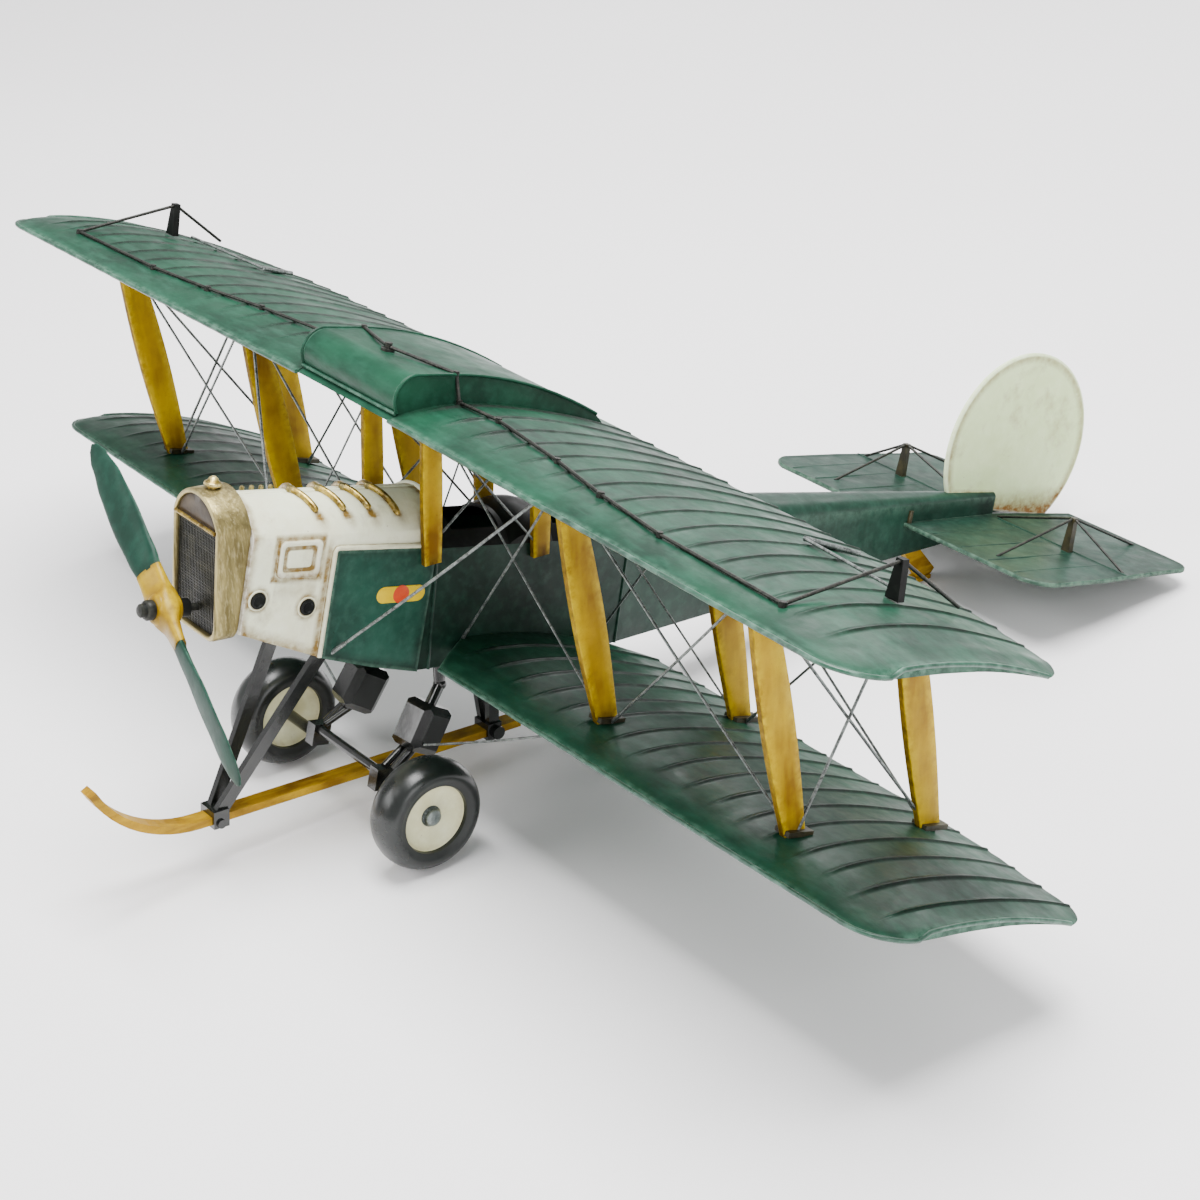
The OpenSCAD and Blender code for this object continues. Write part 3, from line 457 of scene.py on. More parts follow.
def half_thick(s):
    s = min(max(s, 0), 1)
    return 5 * THICK * (0.2969 * sqrt(s) - 0.126 * s - 0.3516 * s * s + 0.2843 * s ** 3 - 0.0986 * s ** 4)


def lead(x):
    """How far the leading edge is cut back at x, by the rounded tip."""
    d = x - (HALF - TIP_F)
    return 0.0 if d <= 0 else TIP_F - sqrt(max(TIP_F ** 2 - d * d, 0))


def trail(x, upper):
    """Trailing edge at x, behind the leading edge line."""
    base = CHORD + (0.0 if x < 150 else -(9.0 if upper else 6.0) * ((x - 150) / 80) ** 1.5)
    d = x - (HALF - TIP_R)
    return base - (0.0 if d <= 0 else TIP_R - sqrt(max(TIP_R ** 2 - d * d, 0)))


def wing_base(x, upper):
    if upper:
        return -max(x - INNER, 0) * DIH
    return x * DIH - GAP


def wing_z(x, y, upper, top=True):
    """Height of the wing's skin at (x, y), y from its own leading edge line."""
    l, t = lead(x), trail(x, upper)
    s = (y - l) / (t - l)
    k = 1.0 if x < 195 else 1.0 - 0.62 * ((x - 195) / 35) ** 1.3
    droop = -2.2 * max((x - 150) / 80, 0) ** 2 * max((s - 0.55) / 0.45, 0) ** 1.5
    z = wing_base(x, upper) - y * INC + CHORD * k * camber_line(s) + droop
    return z + (1 if top else -1) * CHORD * (0.35 + 0.65 * k) * half_thick(s)


def wing(name, side, upper):
    """One wing's ribbed skin, and the rolled lip round its front and tip."""
    root, behind = (INNER, 0) if upper else (14.8, STAG)
    first = root + (3.0 if upper else 12.0)
    rib_x = [first + RIB * i + rng.uniform(-0.5, 0.5) for i in range(30) if first + RIB * i < HALF - 9]
    # heights of the pressed ribs, by place along the span
    marks = {root: 0.0, HALF: 0.0}
    for r in rib_x:
        for d, h in ((1.9, 0.0), (0.72, 0.12), (0.38, 0.92), (0.0, 1.0)):
            marks[r - d] = marks[r + d] = h
    for a in range(20):
        marks.setdefault(HALF - TIP_F + TIP_F * sin(pi / 2 * (a + 1) / 20.5), 0.0)
    for a in range(int(root), int(HALF - 16), 4):
        if min(abs(a - m) for m in marks) > 1.2:
            marks[float(a)] = 0.0
    xs = sorted(m for m in marks if root <= m <= HALF - 0.02)
    frac = [0.5 * (1 - cos(pi * i / STATIONS)) for i in range(STATIONS + 1)]
    loops, line, wear, dirt = [], [], [], []
    for x in xs:
        l, t = lead(x), trail(x, upper)
        if not upper:
            if x < 27.5:
                l = max(l, 17 * (27.5 - x) / 12.7)
            if x < 25:
                t = min(t, t - 22 * (25 - x) / 10.2)
        h = marks[x]
        lp = []
        for top in (True, False):
            for s in frac[::-1] if top else frac[1:-1]:
                y = l + (t - l) * s
                z = wing_z(x, y, upper, top)
                fade = min(max((s - 0.10) / 0.10, 0), 1) if top else 0.6
                uneven = 0.16 * sin(x * 0.21 + 3 * s) * sin(s * 7 + x * 0.05) + 0.10 * sin(x * 0.83) * s
                z += 0.5 * h * fade + uneven if top else -0.5 * h * fade - uneven * 0.3
                lp.append((side * x, y + behind, z))
                line.append((1.0 if 0.9 < h < 0.99 else 0.55 if h > 0.99 else 0.5 if h > 0 else 0.0) * fade)
                # painted shade on the flanks of the pressed ribs, at the root where the wing meets the body,
                # and over the whole underside; the darkening at the trailing edge is weathering
                dirt.append(min(1, (0.55 if 0 < h < 0.9 else 0.05) * fade + 0.8 * near(x, root, 9)
                            + max(0, (s - 0.93) / 0.07) * 0.35 + (0.25 if not top else 0)))
                wear.append(max(0, 1 - s / 0.02) * 0.9 + max(0, (x - HALF + 3) / 3) * 0.7)
        loops.append(lp)
    skin = loft(name, loops, M["green"], line=line, wear=wear, dirt=dirt, angle=50)
    # rolled lip round the leading edge and the tip
    pts = []
    start, corner = root if upper else 28, HALF - TIP_F
    for i in range(60):
        x = start + (corner - start) * i / 59
        pts.append((side * x, behind - 0.1, wing_z(x, 0.0, upper) + 0.05 * sin(x * 0.6)))
    for i in range(1, 13):
        x = corner + TIP_F * sin(pi / 2 * i / 12)
        pts.append((side * x, lead(x) + behind, wing_z(x, lead(x) + 0.01, upper) - 0.1))
    for i in range(1, 16):
        y = TIP_F + (trail(HALF - TIP_R, upper) - TIP_R - TIP_F) * i / 15
        pts.append((side * (HALF - 0.1), y + behind, wing_z(HALF - 1.5, y, upper) - 0.5))
    return [skin, tube(name + "_lip", pts, 0.72, M["lip"], seg=10)]


for sd, nm in SIDES:
    for upper, lev in ((True, "upper"), (False, "lower")):
        node = f"{lev}_wing_{nm}"
        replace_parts(join(node + "_sheet", wing(node + "_skin", sd, upper)), node)


# raised centre section with its tank
def tank_back(y):
    return 14.3 - 0.0038 * max(y - 20, 0) ** 2


def centre_outline():
    """Section of the centre piece as (y, z): the tank's round nose, its long back, and the flat underside."""
    r, cy, cz = 7.5, 8.5, 14.3 - 7.5
    pts = [(cy + r * cos(radians(a)), cz + r * sin(radians(a))) for a in range(222, 89, -6)]
    pts += [(y, tank_back(y)) for y in (12, 16, 20, 26, 32, 38, 44, 50, 56, 62, 68, 73, 77, 80)]
    pts += [(83.5, wing_z(INNER, 83.5, True) + 0.1), (88, wing_z(INNER, 88, True))]
    pts += [(93, wing_z(INNER, 92.6, True))]
    return pts + [(y, wing_z(INNER, y, True, False)) for y in [CHORD * (1 - i / 22) for i in range(23)]]


out = centre_outline()
loops, dirt, wear = [], [], []
half_span = [(26.0, 0.975), (25.4, 0.995), (24.6, 1), (18, 1), (12, 1), (6, 1), (0.6, 1)]
for x, k in [(-x, k) for x, k in half_span] + [(0, 1)] + half_span[::-1]:
    # the ends are drawn in a little, towards (40, 3)
    loops.append([(x, 40 + (y - 40) * (0.6 + 0.4 * k), 3 + (z - 3) * k) for y, z in out])
    # painted shade along the foot of each end, against the wing
    dirt += [0.55 if abs(x) > 25 and z < 5 else 0.05 for _, z in out]
    wear += [0.75 if 24.8 < abs(x) < 25.8 and z > 5 else 0.0 for _, z in out]
tank = loft("centre_section_skin", loops, M["green"], dirt=dirt, wear=wear, angle=45)
# folded seams: along the foot of the tank's nose, and round each end
seams = [tube("seam_nose", [(x, 1.9, 2.2) for x in (-26, -10, 10, 26)], 0.6, M["lip"], 8)]
for sd in (1, -1):
    rim = [(sd * 26.0, y, z) for y, z in out if z > wing_z(INNER, min(max(y, 0.5), 92), True) + 0.6]
    seams.append(tube("seam_end", rim, 0.55, M["green"], 8))
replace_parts(join("centre_section_sheet", [tank] + seams), "centre_section")


# ---------------- propeller
PROP = Vector((0, -52, -66))
BOSS_END, BLADE_END = 13.6, 63.9
PA = radians(56)                          # the rest angle, from upright
U = Vector((-sin(PA), 0, cos(PA)))     # along the upper blade
V = Vector((cos(PA), 0, sin(PA)))      # across it
F = Vector((0, -1, 0))                           # forward


def blade_point(r, w, f):
    return PROP + U * r + V * w + F * f


def blade(sign):
    """A twisted blade, lofted from one rounded section at each radius."""
    pts = 20
    loops, wear, dirt = [], [], []
    for r in [BOSS_END + (BLADE_END - BOSS_END) * i / 40 for i in range(41)]:
        widths = [(13, 9.4), (20, 11.2), (34, 12.8), (48, 11.8), (58, 8.6), (62, 5.6), (64, 1.0)]
        wide = lookup(r, widths, True)
        off = lookup(r, [(13, 0.0), (34, -0.6), (50, -0.8), (64, -1.6)], True)
        thick = lookup(r, [(13, 3.4), (30, 2.4), (50, 1.6), (64, 0.7)], True)
        pitch = radians(lookup(r, [(13, 24), (34, 17), (64, 10)], True))
        lp = []
        for i in range(pts):
            a = 2 * pi * i / pts
            w = off + wide / 2 * cos(a)
            f = thick / 2 * sin(a) * (1 + 0.25 * cos(a))
            lp.append(blade_point(sign * r, sign * (cos(pitch) * w + sin(pitch) * f),
                                  cos(pitch) * f - sin(pitch) * w))
            wear.append(1.0 if abs(cos(a)) > 0.97 else 0.2 * (abs(cos(a)) > 0.9))
            # painted shade where the blade meets the boss; darker towards the tip
            dirt.append(0.5 * near(r, BOSS_END, 5) + 0.3 * max(0, (r - 58) / 6))
        loops.append(lp)
    return loft(f"blade{sign}", loops, M["blade_green"], dirt=dirt, wear=wear, angle=60)


both = join("prop_blades_carved", [blade(1), blade(-1)])
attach(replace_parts(both, "prop_blades"), "propeller")
loops, wear, dirt = [], [], []
for i in range(49):
    r = -14.2 + 28.4 * i / 48
    wid = 9.6 + 2.0 * exp(-(r / 6.5) ** 2)
    thick = 3.6 + 4.6 * exp(-(r / 5.6) ** 4) + 0.8 * exp(-((abs(r) - 8) / 3) ** 2)
    pitch = radians(-24 * tanh(r / 6.5))
    lp = []
    for j in range(28):
        a = 2 * pi * j / 28
        ca, sa = cos(a), sin(a)
        w = wid / 2 * copysign(abs(ca) ** 0.72, ca)
        f = thick / 2 * copysign(abs(sa) ** 0.72, sa) - 0.1
        lp.append(blade_point(r, cos(pitch) * w - sin(pitch) * f, sin(pitch) * w + cos(pitch) * f))
        wear.append(0.5 * abs(ca) ** 8)
        # painted shade at the boss's ends, where the blades leave it, and in a ring round the hub
        dirt.append(0.75 * max(0, (abs(r) - 12.6) / 1.6) + 0.35 * exp(-((abs(r) - 4.5) / 1.6) ** 2))
    loops.append(lp)
boss = loft("boss", loops, M["ochre"], dirt=dirt, wear=wear, angle=60)
# painted shade on the hub's back against the boss and on its front under the nut
hub = lathe("boss_hub", [(-3.9, 0), (-3.9, 4.4), (-3.2, 5.0), (2.6, 5.0), (3.7, 4.3), (4.2, 3.2), (4.2, 0)],
            M["ochre"], PROP, F, 40, dirt=[0.4, 0.5, 0.3, 0.1, 0.15, 0.7, 0.8])
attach(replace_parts(join("prop_boss_carved", [boss, hub]), "prop_boss"), "propeller")
nut = lathe("prop_nut_turned", [(3.9, 0), (3.9, 2.9), (4.4, 3.15), (6.2, 3.15), (6.7, 2.8), (7.0, 2.2),
                                (8.2, 2.1), (8.6, 1.7), (8.8, 0)], M["black"], PROP, F, 36,
            wear=[0, 0, 0.4, 0.3, 0.6, 0, 0.5, 0.4, 0.2])
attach(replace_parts(nut, "prop_nut"), "propeller")

# ---------------- fuselage
BODY, KNEE, END = 14.8, 113.0, 306.0
EDGE = -46.5


def body_half(y):
    return lookup(y, [(34, BODY), (KNEE, BODY), (307, 2.4)])


def body_low(y):
    return lookup(y, [(-34, -70.4), (-4.5, -80), (15.7, -84.8), (34, -88), (KNEE, -85.5), (257, -65.6),
                      (308, -59.2)])


def body_edge(y):
    return lookup(y, [(34, EDGE), (KNEE, EDGE), (200, -46.0), (END, -45.6)])


def body_top(y):
    return lookup(y, [(KNEE, -38.2), (160, -39.2), (END, -43.6)])


def body_loop(y, half, low, edge, top):
    """Flat sides and floor with small corner radii, and an arched deck from edge to top."""
    arch, side, floor, corner = 16, 5, 6, 0.8
    turns = [pi * i / arch for i in range(arch + 1)]
    pts = [(half * cos(a), edge + (top - edge) * sin(a) ** 0.9) for a in turns]
    pts += [(-half, edge + (low + corner - edge) * i / side) for i in range(1, side + 1)]
    pts += [(-half + corner * 0.3, low + corner * 0.3)]
    pts += [((2 * i / floor - 1) * (half - corner), low) for i in range(floor + 1)]
    pts += [(half - corner * 0.3, low + corner * 0.3)]
    pts += [(half, low + corner + (edge - low - corner) * i / side) for i in range(side)]
    return [(x, y, z) for x, z in pts]


ys = [34.2, 34.6] + [34.6 + (KNEE - 34.6) * i / 10 for i in range(1, 10)] + [112.4, KNEE, 113.6]
ys += [114 + (END - 114) * i / 40 for i in range(41)] + [306.6, 307.4]
# the open bay's sides and floor, up to the deck edge
loops, dirt = [], []
for y in ys[:12]:
    h, low = BODY, body_low(y)
    outer = [(h, EDGE), (h, EDGE - 6), (h, EDGE - 18), (h, low + 9), (h, low + 0.8), (h - 0.3, low + 0.25),
             (h - 0.8, low)]
    inner = [(-h + 1.0, EDGE), (-h + 1.0, low + 1.2), (h - 1.0, low + 1.2), (h - 1.0, EDGE)]
    ring = outer + [(0, low)] + [(-x, z) for x, z in outer[::-1]] + inner
    loops.append([(x, y, z) for x, z in ring])
    ends = 0.35 * near(y, 34.2, 3) + 0.3 * near(y, KNEE, 3)
    dirt += [min(1, 0.5 * near(z, low, 7) + ends + 0.12) for _, z in ring]
bay = loft("fuselage_bay", loops, M["body_green"], dirt=dirt, angle=35)
loops, dirt, wear = [], [], []
for y in ys[11:]:
    lp = body_loop(y, body_half(y), body_low(y), body_edge(y), body_top(y))
    loops.append(lp)
    ends = 0.45 * max(0, 1 - (y - 112) / 3) + 0.5 * max(0, (y - 296) / 11)
    dirt += [0.4 * near(z, body_low(y), 5) + ends for _, _, z in lp]
    wear += [0.35 * (abs(z - body_edge(y)) < 0.6) + 0.6 * (y > 307) for _, _, z in lp]
aft = loft("fuselage_aft", loops, M["body_green"], dirt=dirt, wear=wear, angle=32)
beads = []
for y0, y1, x0, x1, r in ((34.6, 38.6, 14.9, 14.95, 0.55), (113.4, 115.6, 14.85, 14.75, 0.5)):
    for sd in (1, -1):
        zt, zl = EDGE - 0.2, body_low(y1) + 0.3
        pts = [(sd * x0, y0, zt), (sd * x1, (y0 + y1) / 2, (zt + zl) / 2), (sd * x0, y1, zl)]
        if y0 > 50:
            pts = [pts[0], (sd * x1, y1, zl)]
        beads.append(tube("seam", pts, r, M["body_green"], 8))
shell = join("fuselage_skin", [bay, aft] + beads)
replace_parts(shell, "fuselage_shell")

# ---------------- cowl, plates, hatches, ports
COWL_R, COWL_Z = 16.1, -46.4
ANG = asin(sqrt(COWL_R ** 2 - BODY ** 2) / COWL_R)
COWL_ROWS = [0.985 * i / 26 for i in range(1, 27)]
HOOPS, HOOP_YAW = (-13.6, -3.5, 5.7, 15.0), radians(20)


def cowl_arch(r, seg):
    """The cowl's rounded top at radius r, from port to starboard."""
    turns = [ANG + (pi - 2 * ANG) * i / seg for i in range(seg + 1)]
    return [(r * cos(a), COWL_Z + r * sin(a)) for a in turns]


def cowl_loop(y):
    low, x = body_low(y), BODY
    side = [(x, COWL_Z + (low - COWL_Z) * k) for k in COWL_ROWS]
    side += [(x - 0.3, low + 0.15), (x - 1.0, low), (5, low)]
    pts = cowl_arch(COWL_R, 48) + [(-x, z) for x, z in side] + [(0, low)] + side[::-1]
    return [(px, y, pz) for px, pz in pts]


HATCH = (-24.3, -52.7, 15.3, 12.1)                     # y, z, width and height
PORTS = ((-29.4, -59.4), (-11.4, -62.7))


def cowl_dirt(x, y, z):
    """Brown staining round the hatch and ports, along the bead and the seam; painted shade under each hoop
    and over the top towards the rear, under the upper wing; darker at both ends, along the bottom and in a
    band under the hatch.
    """
    d = 0.06 + 0.9 * max(0, 1 - (y + 34) / 2.6) + 0.7 * max(0, 1 - (34 - y) / 5.0)
    if abs(x) > 14:
        hy = y - HATCH[0]
        inside = -1.6 < hy < 16.9
        d += (0.95 * near(z, -53.3, 1.3) + 0.8 * near(z, -39.9, 1.2)) * inside
        d += 0.9 * (near(hy, -0.5, 1.2) + near(hy, 15.8, 1.2)) * (-53.5 < z < -40)
        d += 0.35 * near(z, -57, 4.0) * (0 < hy < 15.3)
        d += near(y, -6.0, 1.7) * (z < -43)
        d += 0.8 * near(z, body_low(y), 4.5)
        for py, pz in PORTS:
            d += 0.8 * near(hypot(y - py, z - pz), 3.4, 1.3)
    if z > -44.5:
        d += 0.9 * near(z, -42.6, 1.4) * (y > -5)
    # painted shade: a band under each hoop and a patch where it ends
    if z > -40:
        for y0 in HOOPS:
            run = y0 + abs(x) * tan(HOOP_YAW)
            d += 0.75 * near(y, run, 2.2) * (abs(x) < 12)
            d += 0.7 * near(hypot(y - run - 0.6, abs(x) - 11.6), 0, 3.0)
        d += 0.5 * near(x, 0, 2.0) * (y > -16)
        # painted shadow: the top darkens towards the rear, under the upper wing
        d += 0.5 * max(0, (y - 20) / 14)
    return min(d, 1)


ys = [-34, -33.5] + [-33.5 + 67 * i / 84 for i in range(1, 84)] + [33.5, 34]
loops = [cowl_loop(y) for y in ys]
dirt = [cowl_dirt(*p) for lp in loops for p in lp]
wear = [0.7 * near(p[1], -34, 0.7) for lp in loops for p in lp]
cowl = loft("cowl_sheet", loops, M["cream"], dirt=dirt, wear=wear)
seam = tube("cowl_seam", [(0, y, COWL_Z + COWL_R - 0.1) for y in (-33, -10, 10, 33)], 0.45, M["cream"], 8)
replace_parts(join("engine_cowl_sheet", [cowl, seam]), "engine_cowl")

beads = []
for sd, nm in SIDES:
    outline = [(-3.6, -44.6), (34, -45.6), (34, -87.9), (15.7, -84.7), (-3.6, -80.1)]
    ring = [(y0 + (y1 - y0) * i / 10, z0 + (z1 - z0) * i / 10)
            for (y0, z0), (y1, z1) in zip(outline, outline[1:] + outline[:1]) for i in range(10)]
    cy, cz = 15.5, -64.5
    loops, dirt, wear = [], [], []
    for k, out_x in ((1.0, 14.9), (1.0, 15.45), (0.985, 15.6), (0.93, 15.58), (0.8, 15.62), (0.6, 15.66),
                     (0.4, 15.68), (0.2, 15.7), (0.02, 15.7)):
        loops.append([(sd * out_x, cy + (y - cy) * k, cz + (z - cz) * k) for y, z in ring])
        dirt += [min(1, 0.85 * (k > 0.9) * (0.5 + 0.5 * (z < -76)) + 0.12) for y, z in ring]
        wear += [0.5 * (k == 0.985) for _ in ring]
    p = loft(f"side_plate_{nm}", loops, M["plate_green"], dirt=dirt, wear=wear)
    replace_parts(p, f"side_panel_{nm}")
    if sd == 1:
        # a plain two-colour badge: a yellow bar with a red disc
        bar_y, bar_z = 22.5, -60.5
        pts = [(bar_y + end * 6.4 + 2.7 * cos(a), bar_z + 2.7 * sin(a)) for end, a0 in ((1, -90), (-1, 90))
               for a in [radians(a0 + 15 * i) for i in range(13)]]
        loops = [[(x, bar_y + (y - bar_y) * k, bar_z + (z - bar_z) * k) for y, z in pts]
                 for x, k in ((15.5, 1.0), (15.86, 1.0), (15.92, 0.98), (15.93, 0.6), (15.94, 0.05))]
        loft("badge_bar", loops, M["yellow"])
        loops = [[(x, y, z) for x, y, z in circle(Vector((x, bar_y, bar_z)), 3.0 * k, Y, Z, 36)]
                 for x, k in ((15.6, 1.0), (16.0, 1.0), (16.04, 0.96), (16.05, 0.5), (16.06, 0.03))]
        loft("badge_disc", loops, M["red"])
    # rounded bead along the top and front of the plate, and over the top of the cowl
    run = [(34.0, -45.0), (20, -44.6), (6, -44.2), (-2.6, -43.98), (-3.7, -44.2), (-4.2, -45.0), (-4.25, -56),
           (-4.25, -68), (-4.25, -79.7)]
    bead = tube("bead", [(sd * 15.1, y, z) for y, z in run], 0.85, M["cream"], 12)
    # painted shade on the inner side of the bead, against the body
    a = bead.data.attributes.new("dirt", "FLOAT", "POINT")
    a.data.foreach_set("value", [0.25 + 0.7 * (v.co.x * sd * 1000 < 15.15) for v in bead.data.vertices])
    beads.append(bead)
arch = [(x, 33.2, z) for x, z in cowl_arch(COWL_R + 0.15, 32)]
beads.append(tube("bead_arch", arch, 0.8, M["cream"], 12))
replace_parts(join("panel_beading_rolled", beads), "panel_beading")


def rounded(y0, z0, w, h, r):
    """Rounded rectangle outline, lower front corner at (y0, z0)."""
    front, aft, low, high = y0 + r, y0 + w - r, z0 + r, z0 + h - r
    return [(cy + r * cos(a), cz + r * sin(a))
            for cy, cz, a0 in ((aft, low, -90), (aft, high, 0), (front, high, 90), (front, low, 180))
            for a in [radians(a0 + 15 * i) for i in range(7)]]


hatches = []
for sd in (1, -1):
    y0, z0, w, h = HATCH
    # two raised rims and a flat middle: distance in from the edge, x and corner radius
    steps = [(0.0, 14.6, 2.0), (0.0, 15.2, 2.0), (0.35, 15.55, 1.9), (1.1, 15.6, 1.6), (1.7, 15.45, 1.3),
             (2.0, 15.0, 1.1), (3.1, 14.95, 1.0), (3.35, 15.25, 0.9), (3.7, 15.35, 0.8), (4.4, 15.4, 0.5),
             (5.6, 15.4, 0.3)]
    loops, dirt, wear = [], [], []
    for ins, x, r in steps:
        ring = rounded(y0 + ins, z0 + ins, w - 2 * ins, h - 2 * ins, r)
        loops.append([(sd * x, y, z) for y, z in ring])
        # painted shade in the grooves between the pressed rims and towards the foot of the rims
        foot, groove = 0.85 * (ins < 4), 0.1 + 0.75 * (ins in (0.0, 2.0, 3.1))
        dirt += [min(1, groove + foot * max(0, 1 - (z - z0) / 3.2)) for _, z in ring]
        wear += [0.3 * (ins in (0.35, 1.1)) for _ in ring]
    hatches.append(loft("hatch", loops, M["cream"], dirt=dirt, wear=wear, angle=50))
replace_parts(join("cowl_hatches_pressed", hatches), "cowl_hatches")
ports, rims = [], []
for sd in (1, -1):
    for py, pz in PORTS:
        c, ax = (sd * 14.8, py, pz), (sd, 0, 0)
        section = [(0, 0), (0, 2.6), (0.7, 2.55), (0.85, 2.3), (0.9, 1.8), (0.55, 1.5), (0.5, 0)]
        ports.append(lathe("port", section, M["black"], c, ax, 40))
        section = [(-0.1, 3.35), (0.28, 3.3), (0.4, 3.0), (0.3, 2.65), (-0.1, 2.6)]
        # painted shade on the rim's inner wall, down into the port
        rims.append(lathe("port_rim", section, M["cream"], c, ax, 40, dirt=[0.3, 0.2, 0.3, 0.9, 0.9]))
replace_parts(join("exhaust_ports_set", ports + rims), "exhaust_ports")
# studs and hoops
hoops = []
for sd in (1, -1):
    for yt, span in zip(HOOPS, (39.5, 39.5, 39.5, 48)):
        pts = []
        for a in [radians(90 - span * i / 24) for i in range(25)]:
            along, z = 17.25 * cos(a), COWL_Z + COWL_R - 16.5 + 17.25 * sin(a)
            pts.append((sd * along * cos(HOOP_YAW), yt + along * sin(HOOP_YAW), z))
        hoops.append(tube("hoop", pts, 1.1, M["gold"], 14, radii=[1.12] * 23 + [1.0, 0.6]))
for yt in HOOPS:
    hoops.append(lathe("hoop_ridge", [(0, 1.5), (1.5, 1.5), (2.1, 1.2), (2.3, 0.6), (2.35, 0)], M["brass"],
                       (0, yt, COWL_Z + COWL_R - 0.4), (0, 0, 1), 20))
for i in range(4):
    hoops.append(lathe("stud", [(-0.6, 0.8), (1.2, 0.8), (1.6, 0.6), (1.75, 0.3), (1.8, 0)], M["brass"],
                       (-6, -27 + 3.4 * i, COWL_Z + COWL_R - 1.4), (0, 0, 1), 16))
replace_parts(join("cowl_hoops_bent", hoops), "cowl_hoops")

# ---------------- radiator
RY, RHALF, RLOW, RARC, RARCZ, RCOR, BARZ = -45.5, 13.4, -74.3, 14.2, -42.7, 5.0, -39.0
LEAN = radians(7)


def leaned(x, y, z):
    """The radiator leans back about its bar."""
    dy, dz = y - RY, z - BARZ
    return (x, RY + dy * cos(LEAN) - dz * sin(LEAN), BARZ + dy * sin(LEAN) + dz * cos(LEAN))


def rad_ring(t):
    """Outline of the radiator's face, t inside its edge."""
    w, low, r, R = RHALF - t, RLOW + t, RCOR - t / 2, RARC - t
    a0 = acos(min(w / R, 1))
    side = [(w, RARCZ - 0.2 + (low + r - RARCZ) * k) for k in (0.0, 0.3, 0.6, 0.9)]
    side += [(w - r + r * cos(radians(a)), low + r - r * sin(radians(a))) for a in range(0, 91, 15)]
    arch = [(R * cos(a), RARCZ + R * sin(a)) for a in [a0 + (pi - 2 * a0) * i / 24 for i in range(25)]]
    return arch + [(-x, z) for x, z in side] + side[::-1]


def closed_in(ring, y):
    """A face of the radiator: its outline, and the same drawn in to its middle."""
    return [[leaned(x, y, z) for x, z in ring], [leaned(x * 0.02, y, -56 + (z + 56) * 0.02) for x, z in ring]]


steps = [(0.0, -34.2), (0.0, -38.0), (0.0, -42.0), (0.0, -44.6), (0.15, -45.1), (0.45, -45.42),
         (0.85, -45.52), (1.3, -45.42), (1.6, -45.1), (1.7, -44.4), (1.7, -42.3)]
loops, dirt, wear = [], [], []
for t, y in steps:
    ring = rad_ring(t)
    lp = []
    for x, z in ring:
        p = leaned(x, y, z)
        lp.append((p[0], min(p[1], -34.05), p[2]))
        # painted shade on the inner wall down to the core and on the back edge against the cowl; darker
        # towards the bottom
        dirt.append(min(1, 0.8 * (t >= 1.6) + 0.6 * (y > -35) + 0.25 * max(0, 1 - (z - RLOW) / 12)))
        wear.append(0.7 if 0.3 < t < 1.4 else 0.15)
    loops.append(lp)
shell = loft("radiator_band", loops, M["brass"], dirt=dirt, wear=wear, caps=False)
back_plate = loft("radiator_back", closed_in(rad_ring(1.65), -42.6), M["brown"], caps=False)
bush = lathe("radiator_bush", [(-3.0, 2.9), (0.2, 2.9), (0.5, 2.6), (0.5, 1.3), (-3.0, 1.3)], M["black"],
             (0, -47.3, -66), (0, -1, 0), 32, closed=True)
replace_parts(join("radiator_shell_rolled", [shell, back_plate]), "radiator_shell")
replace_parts(bush, "shaft_bush")
# woven core: crossed wires in front of a dark back
core = [(x, min(z, BARZ)) for x, z in rad_ring(1.6)]
parts = [loft("core_back", closed_in(core, -43.2), M["black"], caps=False)]


def span_at(z):
    """Half width of the core's field at height z."""
    w, low, r = RHALF - 1.75, RLOW + 1.75, RCOR - 0.9
    return w if z > low + r else w - r + sqrt(max(r * r - (low + r - z) ** 2, 0))


PITCH, WIRE, LOW, HIGH = 0.92, 0.15, RLOW + 1.8, BARZ - 0.1
verts, faces = [], []


def core_wire(p, q, depth):
    """A thin square wire of the core between two points (x, z) of its face."""
    a, b = Vector((p[0], 0, p[1])), Vector((q[0], 0, q[1]))
    s = (b - a).normalized().cross(Y) * WIRE
    n = len(verts)
    for e in (a, b):
        for v, dy in ((e - s, 0), (e + s, 0), (e + s, 0.5), (e - s, 0.5)):
            verts.append(leaned(v.x, RY + 1.35 + depth + dy, v.z))
    faces.extend([(n + i, n + (i + 1) % 4, n + (i + 1) % 4 + 4, n + i + 4) for i in range(4)])


z = LOW + 0.3
while z < HIGH:
    w = span_at(z)
    core_wire((-w, z), (w, z), WIRE + rng.uniform(-0.05, 0.05))
    z += PITCH
x = -11.4
while x < 11.5:
    b = LOW
    while b < LOW + 6 and span_at(b) < abs(x):
        b += 0.1
    core_wire((x + rng.uniform(-0.04, 0.04), b), (x, HIGH), 0.0)
    x += PITCH
parts.append(new_mesh("core_wires", verts, faces, M["core"], {}, smooth=False))
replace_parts(join("radiator_core_mesh", parts), "radiator_core")
